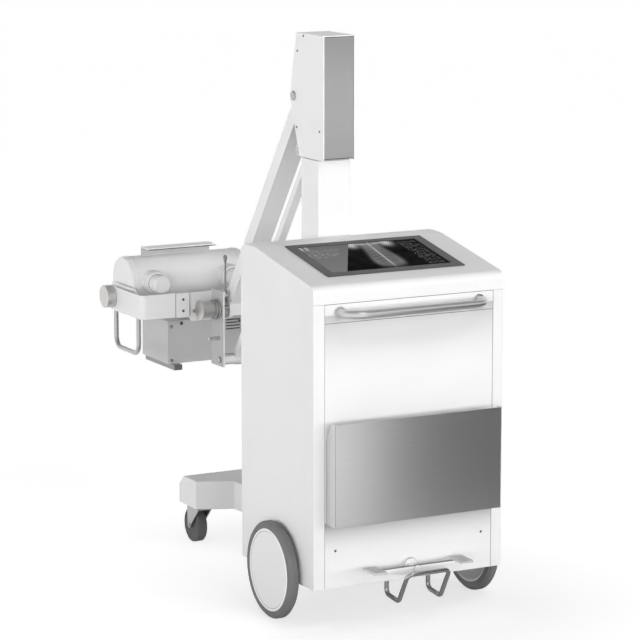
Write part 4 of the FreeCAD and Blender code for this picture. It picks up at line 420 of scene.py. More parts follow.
# Finish, width of the rounded edges in millimetres, nodes
FINISHES = (
    (white_enamel, 0.7, ("console_top",)),
    (shell_enamel, 0.7, ("cabinet_shell",)),
    (panel_painted_shade_enamel, 0.7, ("front_fascia", "front_panel")),
    (white_enamel, 0.8, ("head_cover_left", "head_cover_right", "head_top_cover")),
    (white_enamel, 2.5, ("column",)),
    (white_enamel, 1.6, ("arm_end_block", "link_bar")),
    (white_enamel, 2.2, ("swing_arm",)),
    (white_enamel, 0.7, ("tube_carrier", "clamp_plates")),
    (wall_painted_shade_enamel, 0.7, ("top_bracket",)),
    (bracket_painted_light_enamel, 1.0, ("fork_bracket",)),
    (white_enamel, 1.1, ("fork_band", "tube_end_caps", "tube_housing")),
    (white_enamel, 0.7, ("voltage_ports",)),
    (foot_enamel, 2.2, ("front_leg", "crossbar")),
    (inner_enamel, 1.2, ("base_frame", "generator")),
    (collimator_enamel, 1.4, ("collimator_housing",)),
    (rail_steel, 0.8, ("accessory_rails",)),
    (pocket_steel, 0.6, ("detector_pocket",)),
    (head_steel, 0.5, ("head_front_cover",)),
    (handle_steel, 0.6, ("push_handle",)),
    (grip_steel, 0.6, ("tube_grip",)),
    (tip_steel, 0.5, ("tip_bar",)),
    (pedal_painted_light_enamel, 0.5, ("brake_pedal",)),
    (boss_enamel, 0.5, ("pedal_bearing",)),
    (bright_steel, 0.6, ("pivot_pins", "friction_spindle", "link_rod", "rear_axle")),
    (lever_steel, 0.5, ("release_lever",)),
    (plate_steel, 0.8, ("caster_fork_left", "caster_fork_right")),
    (cast_aluminium, 1.5, ("head_frame",)),
    (pad_rubber, 0.4, ("pedal_pads",)),
    (monitor_plastic, 0.8, ("monitor",)),
    (socket_black, 0.6, ("mains_inlet", "lamp_button")),
    (display_glass, 0.3, ("display",)),
    (battery_plastic, 3.0, ("battery_pack", "balance_spring")),
)
for material, width, nodes in FINISHES:
    for node in nodes:
        soften(node, material, width)

# Rear discs: plane between their two sides and the radii of the painted groove line, the painted rim highlight
# and the inner lip
DISC_INSIDE = 304 * MM
DISC_LIP = 102.8 * MM
DISC_LIP_END = 104.5 * MM
DISC_GROOVE = 101.5 * MM
DISC_RIM = 104.5 * MM


def disc_painted_shade_enamel(name, axle):
    """White enamel with a fine groove outside drawn as a painted shade line and a rim painted paler as a
    painted highlight; the inner side of the disc is darker as painted shade, its lip a lighter grey.
    """
    finish = Finish(name)
    parts = finish.parts((0, axle.y, axle.z))
    sideways = finish.maths("ABSOLUTE", parts["x"], 0.0)
    radius = finish.radius(parts["y"], parts["z"])

    def ring(middle, sharp, soft):
        gap = finish.maths("ABSOLUTE", finish.maths("SUBTRACT", radius, middle), 0.0)
        return finish.between(gap, 1.0, 0.0, sharp * MM, soft * MM)

    outside = finish.between(sideways, 0.0, 1.0, DISC_INSIDE - MM, DISC_INSIDE + MM)
    # Painted shade line along the groove
    groove = finish.maths("MULTIPLY", ring(DISC_GROOVE, 0.8, 1.2), outside)
    cloud = finish.noise(finish.place, 14.0, 3.0)
    # Inner side of the disc: painted shade
    dish_painted_shade = finish.mixed(cloud, (0.42, 0.42, 0.42), (0.46, 0.46, 0.46))
    past_lip = finish.between(radius, 0.0, 1.0, DISC_LIP_END, DISC_LIP_END + 0.5 * MM)
    # Painted shade past the lip on the inner side
    edge = finish.mixed(past_lip, dish_painted_shade, (0.17, 0.17, 0.17))
    inner = finish.mixed(ring(DISC_LIP, 1.4, 2.0), edge, shade(WHITE, 0.75))
    # Painted highlight on the rim
    rim_painted_highlight = finish.mixed(ring(DISC_RIM, 1.4, 2.0), WHITE, shade(WHITE, 1.2))
    outer = finish.mixed(groove, rim_painted_highlight, shade(WHITE, 0.6))
    finish.colour(finish.mixed(outside, inner, outer))
    finish.rough(finish.between(cloud, 0.34, 0.44))
    return finish.fixed(Coat_Weight=COAT_WEIGHT, Coat_Roughness=COAT_ROUGHNESS).material


for node, axis in (("lock_knob", "x"), ("tilt_knob", "x"), ("index_plunger", "x"),
                   ("collimator_knob_left", "y"), ("collimator_knob_right", "y")):
    soften(node, turned_steel(f"turned_{node}", WARM_STEEL, axis, centre_of(node)), 0.7)
for side in ("left", "right"):
    tyre = f"rear_tyre_{side}"
    soften(tyre, wheel_rubber(f"rubber_{tyre}", (0.155, 0.155, 0.155), "x", centre_of(tyre)), 1.4)
    soften(f"rear_disc_{side}", disc_painted_shade_enamel(f"disc_painted_shade_enamel_{side}", centre_of(tyre)), 0.7)
    wheel = f"caster_wheel_{side}"
    soften(wheel, wheel_rubber(f"rubber_{wheel}", (0.085, 0.085, 0.085), "x", centre_of(wheel)), 0.8)


def clear_pane():
    """Slightly hazy pane under the beam opening."""
    finish = Finish("clear_pane")
    haze = finish.noise(finish.place, 30.0, 3.0)
    finish.rough(finish.between(haze, 0.06, 0.2))
    finish.colour(finish.mixed(haze, (0.78, 0.8, 0.8), (0.86, 0.88, 0.88)))
    return finish.fixed(Transmission_Weight=0.85, IOR=1.45).material


soften("beam_window", clear_pane(), 0.3)


# Small pieces

def mesh_piece(name, body, material, build):
    """A new piece that a function builds in a bmesh, riding on a body."""
    mesh = bpy.data.meshes.new(name)
    shape = bmesh.new()
    build(shape)
    bmesh.ops.remove_doubles(shape, verts=shape.verts, dist=0.000001)
    bmesh.ops.recalc_face_normals(shape, faces=shape.faces)
    shape.to_mesh(mesh)
    shape.free()
    piece = bpy.data.objects.new(name, mesh)
    scene.collection.objects.link(piece)
    mesh.materials.append(material)
    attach(piece, body)
    return piece


def islands(node):
    """Boxes round the separate solids of a node, as pairs of corners."""
    shape = bmesh.new()
    shape.from_mesh(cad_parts[node].data)
    bmesh.ops.remove_doubles(shape, verts=shape.verts, dist=JOIN_REACH)
    left = set(shape.verts)
    boxes = []
    while left:
        stack = [left.pop()]
        found = list(stack)
        while stack:
            for edge in stack.pop().link_edges:
                for vertex in edge.verts:
                    if vertex in left:
                        left.remove(vertex)
                        stack.append(vertex)
                        found.append(vertex)
        low = Vector(min(v.co[k] for v in found) for k in range(3))
        high = Vector(max(v.co[k] for v in found) for k in range(3))
        boxes.append((low, high))
    shape.free()
    return sorted(boxes, key=lambda pair: tuple(pair[0]))


SCREW_SIDES = 28
SCREW_TOP_SHARE = 0.72
SOCKET_RAISED_SHARE = 0.4
SEED_HALF_SIDE = 0.0002


def screw_tree(name, radius, height, socket):
    """Geometry nodes: a button-head screw with a hexagon socket on every face, turned along its normal."""
    tree = bpy.data.node_groups.new(name, "GeometryNodeTree")
    tree.interface.new_socket("Geometry", in_out="INPUT", socket_type="NodeSocketGeometry")
    for label, value in (("Radius", radius), ("Height", height), ("Socket", socket)):
        tree.interface.new_socket(label, in_out="INPUT", socket_type="NodeSocketFloat").default_value = value
    tree.interface.new_socket("Finish", in_out="INPUT", socket_type="NodeSocketMaterial")
    tree.interface.new_socket("Geometry", in_out="OUTPUT", socket_type="NodeSocketGeometry")
    nodes, links = tree.nodes, tree.links
    given = nodes.new("NodeGroupInput")
    result = nodes.new("NodeGroupOutput")

    def cone(sides):
        node = nodes.new("GeometryNodeMeshCone")
        node.inputs["Vertices"].default_value = sides
        return node

    head = cone(SCREW_SIDES)
    links.new(given.outputs["Radius"], head.inputs["Radius Bottom"])
    top = nodes.new("ShaderNodeMath")
    top.operation = "MULTIPLY"
    top.inputs[1].default_value = SCREW_TOP_SHARE
    links.new(given.outputs["Radius"], top.inputs[0])
    links.new(top.outputs[0], head.inputs["Radius Top"])
    links.new(given.outputs["Height"], head.inputs["Depth"])
    hexagon = cone(6)
    links.new(given.outputs["Socket"], hexagon.inputs["Radius Bottom"])
    links.new(given.outputs["Socket"], hexagon.inputs["Radius Top"])
    links.new(given.outputs["Height"], hexagon.inputs["Depth"])
    lift = nodes.new("GeometryNodeTransform")
    offset = nodes.new("ShaderNodeCombineXYZ")
    raised = nodes.new("ShaderNodeMath")
    raised.operation = "MULTIPLY"
    raised.inputs[1].default_value = SOCKET_RAISED_SHARE
    links.new(given.outputs["Height"], raised.inputs[0])
    links.new(raised.outputs[0], offset.inputs["Z"])
    links.new(offset.outputs[0], lift.inputs["Translation"])
    links.new(hexagon.outputs["Mesh"], lift.inputs["Geometry"])
    hollow = nodes.new("GeometryNodeMeshBoolean")
    hollow.operation = "DIFFERENCE"
    links.new(head.outputs["Mesh"], hollow.inputs["Mesh 1"])
    links.new(lift.outputs["Geometry"], hollow.inputs["Mesh 2"])
    normal = nodes.new("GeometryNodeInputNormal")
    align = nodes.new("FunctionNodeAlignRotationToVector")
    align.axis = "Z"
    links.new(normal.outputs[0], align.inputs["Vector"])
    points = nodes.new("GeometryNodeMeshToPoints")
    points.mode = "FACES"
    turned = nodes.new("GeometryNodeInstanceOnPoints")
    stored = nodes.new("GeometryNodeCaptureAttribute")
    stored.domain = "FACE"
    stored.capture_items.new("ROTATION", "Turn")
    links.new(given.outputs["Geometry"], stored.inputs["Geometry"])
    links.new(align.outputs["Rotation"], stored.inputs[1])
    links.new(stored.outputs["Geometry"], points.inputs["Mesh"])
    links.new(points.outputs[0], turned.inputs["Points"])
    links.new(stored.outputs[1], turned.inputs["Rotation"])
    links.new(hollow.outputs["Mesh"], turned.inputs["Instance"])
    real = nodes.new("GeometryNodeRealizeInstances")
    finish = nodes.new("GeometryNodeSetMaterial")
    links.new(turned.outputs[0], real.inputs[0])
    links.new(real.outputs[0], finish.inputs["Geometry"])
    links.new(given.outputs["Finish"], finish.inputs["Material"])
    links.new(finish.outputs[0], result.inputs[0])
    return tree


def grown(name, body, slot, seeds, tree, **inputs):
    """Runs a node tree on seed faces and keeps the result as a plain mesh piece."""
    seed_mesh = bpy.data.meshes.new(f"{name}_seeds")
    corners, faces = [], []
    for place, normal in seeds:
        normal = Vector(normal)
        side = normal.orthogonal().normalized() * SEED_HALF_SIDE
        other = normal.cross(side)
        start = len(corners)
        for way in (side + other, other - side, -side - other, side - other):
            corners.append(Vector(place) + way)
        faces.append((start, start + 1, start + 2, start + 3))
    seed_mesh.from_pydata([tuple(c) for c in corners], [], faces)
    seed_mesh.update()
    seed = bpy.data.objects.new(f"{name}_seeds", seed_mesh)
    scene.collection.objects.link(seed)
    modifier = seed.modifiers.new("grow", "NODES")
    modifier.node_group = tree
    for item in tree.interface.items_tree:
        if item.item_type == "SOCKET" and item.in_out == "INPUT" and item.name in inputs:
            modifier[item.identifier] = inputs[item.name]
    graph = bpy.context.evaluated_depsgraph_get()
    mesh = bpy.data.meshes.new_from_object(seed.evaluated_get(graph))
    bpy.data.objects.remove(seed)
    piece = bpy.data.objects.new(name, mesh)
    mesh.name = name
    scene.collection.objects.link(piece)
    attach(piece, body)
    return piece


TO_OPERATOR = (0, -1, 0)
screws = screw_tree("socket_screws", 3.4 * MM, 1.2 * MM, 1.6 * MM)


def cover_screw_seeds():
    seeds = []
    for low, high in islands("cover_screws"):
        size = high - low
        middle = (low + high) / 2
        axis = min(range(3), key=lambda k: size[k])
        normal = Vector((0, 0, 0))
        normal[axis] = 1 if (axis == 0 and middle.x > 0) else -1
        seeds.append((middle, normal))
    return seeds


cover_heads = grown("cover_screw_heads", "cart", "dark_screws", cover_screw_seeds(), screws,
                    Radius=3.4 * MM, Height=1.2 * MM, Socket=1.7 * MM, Finish=screw_steel)
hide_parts("cover_screws")


def clamp_screw_seeds():
    """Two screws set flush in the holes of each clamp plate."""
    sunk = 1.5 * MM
    from_middle = 16.5 * MM
    seeds = []
    for low, high in islands("clamp_plates"):
        middle = (low + high) / 2
        for height in (middle.z - from_middle, middle.z + from_middle):
            seeds.append(((middle.x, low.y + sunk, height), TO_OPERATOR))
    return seeds


grown("clamp_screws", "bracket", "dark_screws", clamp_screw_seeds(), screws,
      Radius=3.9 * MM, Height=2.4 * MM, Socket=2.0 * MM, Finish=screw_steel)


collimator_low, collimator_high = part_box("collimator_housing")


def collimator_screw_seeds():
    """Four screws near the corners of the collimator's face."""
    inset = 10.6 * MM
    first_row = collimator_low.z + 9.4 * MM
    rows_apart = 100 * MM
    front = collimator_low.y - 0.9 * MM
    seeds = []
    for x in (collimator_low.x + inset, collimator_high.x - inset):
        for z in (first_row, first_row + rows_apart):
            seeds.append(((x, front, z), TO_OPERATOR))
    return seeds


grown("collimator_screws", "collimator", "bright_steel", collimator_screw_seeds(), screws,
      Radius=5.6 * MM, Height=1.8 * MM, Socket=2.6 * MM, Finish=bright_steel)


# The display's picture

def display_plane():
    """Middle, across and up directions and half sizes of the display's sloping face."""
    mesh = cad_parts["display"].data
    best = max(mesh.polygons, key=lambda face: face.normal.z * face.area)
    normal = best.normal.copy()
    up = Vector((0, normal.z, -normal.y)).normalized()
    across = Vector((1, 0, 0))
    points = [v.co for v in mesh.vertices]
    top = max(p.dot(normal) for p in points)
    spread = [p.dot(up) for p in points if p.dot(normal) > top - 0.0005]
    wide = [p.x for p in points]
    middle = normal * top + up * (min(spread) + max(spread)) / 2
    middle.x = (min(wide) + max(wide)) / 2
    return middle, across, up, normal, (max(wide) - min(wide)) / 2, (max(spread) - min(spread)) / 2


def bell(distance, width):
    return exp(-(distance / width) ** 2)


def radiograph(u, v):
    """Brightness of a generic chest radiograph; u runs across from its middle and v from -1 to 1 up."""
    width = 0.155 + 0.085 / (1 + exp((v - 0.05) * 5))
    body = 1 / (1 + exp((abs(u) - width) * 55)) / (1 + exp((-0.86 + 3.0 * u * u - v) * 14))
    lungs = 0.0
    for side in (-1, 1):
        reach = hypot((u - side * 0.10) / 0.075, (v + 0.1) / 0.6)
        lungs = max(lungs, 1 / (1 + exp((reach - 1) * 8)))
    ribs = 0.0
    for index in range(8):
        ribs += bell(v - 0.66 + index * 0.2 + 3.0 * u * u, 0.04) * lungs
    spine = bell(u, 0.011) * (0.55 + 0.45 * (sin(v * 60) > -0.3)) * body
    shoulder = bell(hypot((abs(u) - 0.30) / 0.7, (v - 0.88) / 1.5), 0.13)
    collar = bell(v - 0.86 - 0.4 * abs(u), 0.06) * bell(abs(u) - 0.15, 0.12)
    value = body * (0.17 - 0.07 * lungs) + 0.38 * spine + 0.06 * ribs
    return value + 0.25 * collar + 0.85 * shoulder * (0.6 + 0.4 * sin(u * 190) * sin(v * 41))


def dashes(u, v, rows, columns, fill):
    """Generic rows of short strokes, as a list would show them."""
    row = (v + 1) * rows / 2
    column = (u + 1) * columns / 2
    here = sin(int(row) * 12.9 + int(column) * 78.2) * 43.7
    return 1.0 if row % 1 > 0.5 and column % 1 > 0.25 and (here - int(here // 1)) % 1 < fill else 0.0


def display_brightness(u, v):
    """The whole picture: list on the left, radiograph in the middle and settings on the right."""
    edge = -0.45 + 0.31 * v
    if u < edge:
        title = 0.25 if v > 0.78 and u < -0.86 and abs(u + 0.93) > 0.02 else 0.0
        marks = 0.16 * dashes(u, v, 22, 60, 0.5) if 0.1 < v < 0.8 and u < edge - 0.16 else 0.0
        return 0.165 - 0.02 * v + title + marks
    if u > 0.66:
        return 0.006 + (0.12 * dashes(u, v, 26, 70, 0.55) if abs(v) < 0.9 and u < 0.97 else 0.0)
    return 0.003 + radiograph(u - 0.13 - 0.04 * v, v)


def painted_sheet(name, middle, across, up, half_w, half_h, columns, rows, paint, lift):
    """A fine grid just above the display whose points carry the brightness of a picture."""
    mesh = bpy.data.meshes.new(name)
    points, faces, values = [], [], []
    for row in range(rows + 1):
        for column in range(columns + 1):
            u = 2 * column / columns - 1
            v = 2 * row / rows - 1
            points.append(tuple(middle + across * u * half_w + up * v * half_h + lift))
            values.append(paint(u, v))
    for row in range(rows):
        for column in range(columns):
            start = row * (columns + 1) + column
            faces.append((start, start + 1, start + columns + 2, start + columns + 1))
    mesh.from_pydata(points, [], faces)
    layer = mesh.color_attributes.new("picture", "FLOAT_COLOR", "POINT")
    for index, value in enumerate(values):
        layer.data[index].color = (value, value, value * 1.02, 1)
    piece = bpy.data.objects.new(name, mesh)
    scene.collection.objects.link(piece)
    mesh.materials.append(picture_glow)
    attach(piece, "cart")
    return piece


def glowing_picture():
    """Shows the picture attribute as light under glossy glass."""
    finish = Finish("display_picture")
    picture = finish.add("ShaderNodeVertexColor", layer_name="picture")
    smears = finish.noise(finish.place, 30.0, 3.0)
    glass = finish.mixed(finish.between(smears, 0.0, 1.0), (0.004, 0.004, 0.004), (0.012, 0.012, 0.012))
    finish.colour(glass)
    finish.rough(finish.between(smears, 0.12, 0.2))
    finish.link(picture.outputs[0], finish.shader.inputs["Emission Color"])
    return finish.fixed(Emission_Strength=1.0, Specular_IOR_Level=0.0).material


picture_glow = glowing_picture()


def display_picture():
    middle, across, up, normal, half_w, half_h = display_plane()
    margin = 2 * MM
    columns, rows = 200, 110
    painted_sheet("display_image", middle, across, up, half_w - margin, half_h - margin, columns, rows,
                  display_brightness, normal * 0.15 * MM)


display_picture()


# Dark backing of the cooling slots, dark joints, painted shade strips, sensor hole and small fasteners

def slab(shape, low, high):
    bmesh.ops.create_cube(shape, size=1.0, matrix=Matrix.Translation((Vector(low) + Vector(high)) / 2)
                          @ Matrix.Diagonal((*(Vector(high) - Vector(low)), 1)))


def grille_backing(shape):
    """Dark plate inside the collimator, behind its cooling slots."""
    near, far = 3.4 * MM, 4.6 * MM
    left, right = 60 * MM, 4 * MM
    bottom, top = 84 * MM, 28 * MM
    slab(shape, (collimator_high.x - left, collimator_low.y + near, collimator_high.z - bottom),
         (collimator_high.x - right, collimator_low.y + far, collimator_high.z - top))


def disc_at(shape, centre, direction, radius, depth, sides=32):
    turn = Vector(direction).to_track_quat("Z", "Y").to_matrix().to_4x4()
    bmesh.ops.create_cone(shape, cap_ends=True, segments=sides, radius1=radius, radius2=radius, depth=depth,
                          matrix=Matrix.Translation(Vector(centre)) @ turn)


def sensor_eye(shape):
    """Dark round window near the top of the collimator's face."""
    across, proud, up = 43.5 * MM, 0.2 * MM, 117 * MM
    radius, depth = 5.2 * MM, 0.8 * MM
    disc_at(shape, collimator_low + Vector((across, -proud, up)), TO_OPERATOR, radius, depth)


def ring_at(shape, centre, direction, radius, thick, sides=40, around=10):
    """A torus round an axis through the centre."""
    turn = Vector(direction).to_track_quat("Z", "Y").to_matrix().to_4x4()
    place = Matrix.Translation(Vector(centre)) @ turn
    rows = []
    for step in range(sides):
        angle = 2 * pi * step / sides
        row = []
        for turn_step in range(around):
            small = 2 * pi * turn_step / around
            reach = radius + thick * cos(small)
            corner = Vector((reach * cos(angle), reach * sin(angle), thick * sin(small)))
            row.append(shape.verts.new(place @ corner))
        rows.append(row)
    for step in range(sides):
        first, second = rows[step], rows[(step + 1) % sides]
        for turn_step in range(around):
            following = (turn_step + 1) % around
            shape.faces.new((first[turn_step], second[turn_step], second[following], first[following]))


fascia_low, fascia_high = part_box("front_fascia")
panel_low, panel_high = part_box("front_panel")
cover_low, cover_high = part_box("head_front_cover")
SEAM_MIDDLE = 0.3 * MM
GASKET_WIDTH = 1.3 * MM
GASKET_PROUD = 0.06 * MM
GASKET_DEPTH = 0.5 * MM


def front_gaskets(shape):
    """Dark seals in the gaps round the fascia and the front panel."""
    near, far = panel_low.y - GASKET_PROUD, panel_low.y + GASKET_DEPTH
    half = GASKET_WIDTH / 2
    side = panel_high.x + SEAM_MIDDLE
    top = fascia_high.z + SEAM_MIDDLE
    for height in (top, fascia_low.z - SEAM_MIDDLE):
        slab(shape, (-side - half, near, height - half), (side + half, far, height + half))
    for x, reach in ((-side, half / 2), (side, half)):
        slab(shape, (x - reach, near, panel_low.z), (x + reach, far, top - half))


def head_gaskets(shape):
    """Dark seals along the top, bottom and far edge of the head's front cover."""
    near, far = cover_low.y - GASKET_PROUD, cover_low.y + GASKET_DEPTH
    wide = 1.6 * MM
    for height in (cover_high.z - wide / 2, cover_low.z + wide / 2):
        slab(shape, (cover_low.x, near, height - wide / 2), (cover_high.x, far, height + wide / 2))
    slab(shape, (cover_high.x - wide / 2, near, cover_low.z + wide), (cover_high.x, far, cover_high.z - wide))


def clamp_gaskets(shape):
    """Dark joints on both sides of the clamp plate that faces the operator."""
    low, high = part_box("clamp_plates")
    plate_end = low.x + 39 * MM
    wide = 1.5 * MM
    slab(shape, (plate_end, low.y - GASKET_PROUD, low.z + 2 * MM),
         (plate_end + wide, low.y + GASKET_DEPTH, high.z - 2 * MM))
    band_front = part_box("fork_band")[0].y
    slab(shape, (low.x - wide, band_front - GASKET_PROUD, low.z + 1 * MM),
         (low.x, band_front + GASKET_DEPTH, high.z - 1 * MM))


def pocket_painted_shade_fold(shape):
    """Dark strip along the fold between the front and the near side of the detector pocket, as painted shade.
    """
    low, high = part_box("detector_pocket")
    slab(shape, (low.x, low.y - GASKET_PROUD, low.z + 1 * MM),
         (low.x + 0.9 * MM, low.y + GASKET_DEPTH, high.z - 1 * MM))


def lip_painted_shadow(shape):
    """Dark strip under the lip of the tube's top bracket, as a painted shadow."""
    low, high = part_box("top_bracket")
    inset, bottom, top = 1 * MM, 5 * MM, 2.6 * MM
    slab(shape, (low.x + inset, low.y - GASKET_PROUD, high.z - bottom),
         (high.x - inset, low.y + GASKET_DEPTH, high.z - top))


# The joints, painted shade strips and backings, each on the body that it belongs to
mesh_piece("pocket_painted_shade_fold", "cart", rail_steel, pocket_painted_shade_fold)
mesh_piece("clamp_gaskets", "bracket", seal_rubber, clamp_gaskets)
mesh_piece("lip_painted_shadow", "tube_head", seal_rubber, lip_painted_shadow)
mesh_piece("front_gaskets", "cart", seal_rubber, front_gaskets)
mesh_piece("head_gaskets", "cart", seal_rubber, head_gaskets)
mesh_piece("grille_backing", "collimator", socket_black, grille_backing)
mesh_piece("sensor_eye", "collimator", socket_black, sensor_eye)


knob_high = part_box("lock_knob")[1]
knob_middle = centre_of("lock_knob")


def collar_rings(shape):
    """Two rings between the lock knob and the plate it presses on, in millimetres."""
    for from_plate, radius, thick in ((3, 29, 2.6), (11, 26.5, 2)):
        place = (knob_high.x - from_plate * MM, knob_middle.y, knob_middle.z)
        ring_at(shape, place, (1, 0, 0), radius * MM, thick * MM)


def clamp_bolt(shape):
    """Head of the bolt beside the lock knob."""
    across, proud, height = -113.2 * MM, 1.2 * MM, 664.2 * MM
    radius, depth = 5.4 * MM, 2.6 * MM
    disc_at(shape, (across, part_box("clamp_plates")[0].y - proud, height), TO_OPERATOR, radius, depth)


def block_screw(shape):
    """Small screw on the near side of the arm's lower end."""
    sunk, back, height = 0.1 * MM, 340 * MM, 700 * MM
    radius, depth, sides = 2.4 * MM, 0.8 * MM, 20
    disc_at(shape, (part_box("swing_arm")[0].x + sunk, back, height), (-1, 0, 0), radius, depth, sides)


mesh_piece("collar_rings", "lock_knob", bright_steel, collar_rings)
mesh_piece("clamp_bolt", "bracket", bright_steel, clamp_bolt)
mesh_piece("block_screw", "arm", screw_steel, block_screw)
bearing_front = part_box("pedal_bearing")[0].y
bearing_middle = centre_of("pedal_bearing")


def bearing_ring(shape):
    """Dark joint round the pedal's bearing boss."""
    behind, radius, thick = 1 * MM, 21 * MM, 0.7 * MM
    ring_at(shape, (bearing_middle.x, bearing_front + behind, bearing_middle.z), TO_OPERATOR, radius, thick)


def pedal_cap_ring(shape):
    """Dark joint round the end of the pedal's shaft."""
    behind, radius, thick = 1.9 * MM, 10 * MM, 0.6 * MM
    ring_at(shape, (bearing_middle.x, pedal_low.y + behind, bearing_middle.z), TO_OPERATOR, radius, thick)


def pedal_painted_shadow_strip(shape):
    """Dark strip on top of the pedal bar, between its pads, as a painted shadow where the bar meets the panel
    behind it.
    """
    front = pedal_low.y + PEDAL_DISC_PROUD
    edge = 0.6 * MM
    pad_reach = 28 * MM
    reach = pedal_high.x - pad_reach
    slab(shape, (-reach, front + edge, pedal_bar_top - GASKET_DEPTH),
         (reach, front + PEDAL_BAR_DEPTH - edge, pedal_bar_top + 5 * GASKET_PROUD))


def port_rings(shape):
    """Dark joints between the cap and the collar of each high-voltage port, in millimetres."""
    low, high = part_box("voltage_ports")
    middle = (high.z - low.z) / 2
    for x in (low.x + middle, high.x - middle):
        for behind, radius, thick in ((37.8, 26.3, 0.6), (50, 33.8, 0.4)):
            place = (x, low.y + behind * MM, low.z + middle)
            ring_at(shape, place, TO_OPERATOR, radius * MM, thick * MM)


mesh_piece("bearing_ring", "cart", seal_rubber, bearing_ring)
mesh_piece("pedal_cap_ring", "pedal", seal_rubber, pedal_cap_ring)
mesh_piece("pedal_painted_shadow_strip", "pedal", painted_shadow_grey, pedal_painted_shadow_strip)
mesh_piece("port_rings", "tube_head", seal_rubber, port_rings)


# Studio: pale floor, soft light and the camera

def floor_finish():
    """White floor that keeps the machine's soft shadow, with a painted shadow round a place near the machine:
    darker colour, a smaller lift and darker reflections there.
    """
    to_shadow = (-0.1, 0.55, 0)
    finish = Finish("floor_white")
    length = finish.add("ShaderNodeVectorMath", operation="LENGTH")
    finish.link(finish.stretched((1, 1, 1), to_shadow), length.inputs[0])
    # Mask of the painted shadow: 0 near the machine, 1 far from it
    around = finish.between(length.outputs["Value"], 0.0, 1.0, 0.3, 1.0)
    cloud = finish.noise(finish.place, 0.6, 2.0)
    far = finish.mixed(cloud, shade((FLOOR_COLOUR,) * 3, 0.995), shade((FLOOR_COLOUR,) * 3, 1.005))
    finish.colour(finish.mixed(around, (FLOOR_PAINTED_SHADOW,) * 3, far))
    finish.fixed(Roughness=0.9, Specular_IOR_Level=0.0)
    seen = finish.add("ShaderNodeLightPath")
    glow = finish.add("ShaderNodeEmission")
    both = finish.add("ShaderNodeAddShader")
    output = finish.tree.nodes["Material Output"]
    clear = finish.maths("MAXIMUM", seen.outputs["Is Camera Ray"], seen.outputs["Is Transmission Ray"])
    lifted = finish.between(around, FLOOR_LIFT_IN_PAINTED_SHADOW, FLOOR_LIFT, 0.0, 1.0)
    # Reflections of the floor are painted darker near the machine
    mirrored = finish.between(length.outputs["Value"], 0.0, FLOOR_LIFT, 0.5, 1.6)
    shown = finish.maths("ADD", finish.maths("MULTIPLY", clear, lifted),
                         finish.maths("MULTIPLY", seen.outputs["Is Glossy Ray"], mirrored))
    finish.link(shown, glow.inputs["Strength"])
    finish.link(finish.shader.outputs[0], both.inputs[0])
    finish.link(glow.outputs[0], both.inputs[1])
    finish.link(both.outputs[0], output.inputs["Surface"])
    return finish.material


def lay_floor():
    mesh = bpy.data.meshes.new("floor")
    half = 40.0
    corners = [(-half, -half, 0), (half, -half, 0), (half, half, 0), (-half, half, 0)]
    mesh.from_pydata(corners, [], [(0, 1, 2, 3)])
    floor = bpy.data.objects.new("floor", mesh)
    scene.collection.objects.link(floor)
    mesh.materials.append(floor_finish())


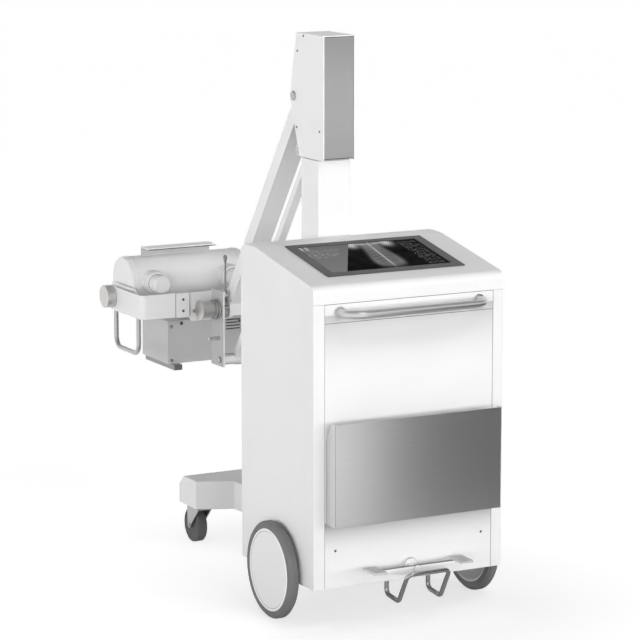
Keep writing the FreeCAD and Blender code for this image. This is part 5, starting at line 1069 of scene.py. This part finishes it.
def light_world():
    """A bright band near the horizon, strongest in front, under a dimmer sky; white where it is seen."""
    world = bpy.data.worlds.new("studio")
    scene.world = world
    world.use_nodes = True
    nodes, links = world.node_tree.nodes, world.node_tree.links

    def maths(operation, *values):
        node = nodes.new("ShaderNodeMath")
        node.operation = operation
        for socket, value in zip(node.inputs, values):
            if isinstance(value, (int, float)):
                socket.default_value = value
            else:
                links.new(value, socket)
        return node.outputs[0]

    coordinate = nodes.new("ShaderNodeTexCoord")
    parts = nodes.new("ShaderNodeSeparateXYZ")
    links.new(coordinate.outputs["Generated"], parts.inputs[0])
    band = nodes.new("ShaderNodeMapRange")
    band.interpolation_type = "SMOOTHSTEP"
    band.inputs["From Min"].default_value = 0.0
    band.inputs["From Max"].default_value = BAND_TOP
    band.inputs["To Min"].default_value = BAND_LIGHT
    band.inputs["To Max"].default_value = SKY_LIGHT
    links.new(parts.outputs["Z"], band.inputs["Value"])
    facing = maths("ADD", maths("MULTIPLY", parts.outputs["Y"], -FRONT_SHARE),
                   maths("MULTIPLY", parts.outputs["X"], -LEFT_SHARE))
    lit = maths("MULTIPLY", band.outputs[0], maths("ADD", facing, 1.0))
    mirrored = nodes.new("ShaderNodeMapRange")
    mirrored.interpolation_type = "SMOOTHSTEP"
    mirrored.inputs["From Min"].default_value = SEEN_SKY_START
    mirrored.inputs["From Max"].default_value = SEEN_SKY_END
    mirrored.inputs["To Min"].default_value = 1.0
    mirrored.inputs["To Max"].default_value = SEEN_SKY
    links.new(parts.outputs["Z"], mirrored.inputs["Value"])
    seen = nodes.new("ShaderNodeLightPath")
    clear = maths("MAXIMUM", seen.outputs["Is Camera Ray"], seen.outputs["Is Transmission Ray"])
    shown = maths("MAXIMUM", clear, seen.outputs["Is Glossy Ray"])
    glossy = maths("MULTIPLY", seen.outputs["Is Glossy Ray"], mirrored.outputs[0])
    unseen = maths("MULTIPLY", lit, maths("SUBTRACT", 1.0, shown))
    strength = maths("ADD", unseen, maths("MAXIMUM", clear, glossy))
    background = nodes["Background"]
    background.inputs["Color"].default_value = (1, 1, 1, 1)
    links.new(strength, background.inputs["Strength"])


def soft_box(name, place, target, width, height, power):
    light = bpy.data.lights.new(name, "AREA")
    light.shape = "RECTANGLE"
    light.size = width
    light.size_y = height
    light.energy = power
    lamp = bpy.data.objects.new(name, light)
    lamp.location = place
    direction = Vector(target) - Vector(place)
    lamp.rotation_mode = "QUATERNION"
    lamp.rotation_quaternion = direction.to_track_quat("-Z", "Y")
    scene.collection.objects.link(lamp)


def dark_card(name, start, end, low, high, grey):
    """A grey card beside the set that only shows in the brushed metal."""
    mesh = bpy.data.meshes.new(name)
    mesh.from_pydata([(*start, low), (*end, low), (*end, high), (*start, high)], [], [(0, 1, 2, 3)])
    card = bpy.data.objects.new(name, mesh)
    scene.collection.objects.link(card)
    finish = Finish(name)
    cloud = finish.noise(finish.place, 1.5, 2.0)
    finish.colour(finish.mixed(cloud, shade((grey, grey, grey), 0.9), (grey, grey, grey)))
    mesh.materials.append(finish.fixed(Roughness=1.0).material)
    card.visible_camera = False
    card.visible_diffuse = False
    card.visible_shadow = False
    card.visible_transmission = False


lay_floor()
light_world()
soft_box("top_box", place=(0.5, -2.6, 3.4), target=(0, -0.4, 0.7), width=2.4, height=0.8, power=26)
dark_card("pocket_card", start=(0.27, -1.43), end=(2.6, -0.4), low=0.0, high=1.0, grey=0.19)
dark_card("head_card", start=(0.0, -1.4), end=(1.9, -0.5), low=1.4, high=2.6, grey=0.05)

camera_data = bpy.data.cameras.new("photo_camera")
camera_data.lens = CAMERA_LENS
camera_data.sensor_width = 36.0
camera_data.clip_start = 0.1
camera_data.clip_end = 100.0
camera = bpy.data.objects.new("photo_camera", camera_data)
camera.location = CAMERA_PLACE
camera.rotation_euler = (radians(CAMERA_TILT), 0, radians(CAMERA_TURN))
scene.collection.objects.link(camera)
scene.camera = camera
scene.view_settings.view_transform = "Standard"
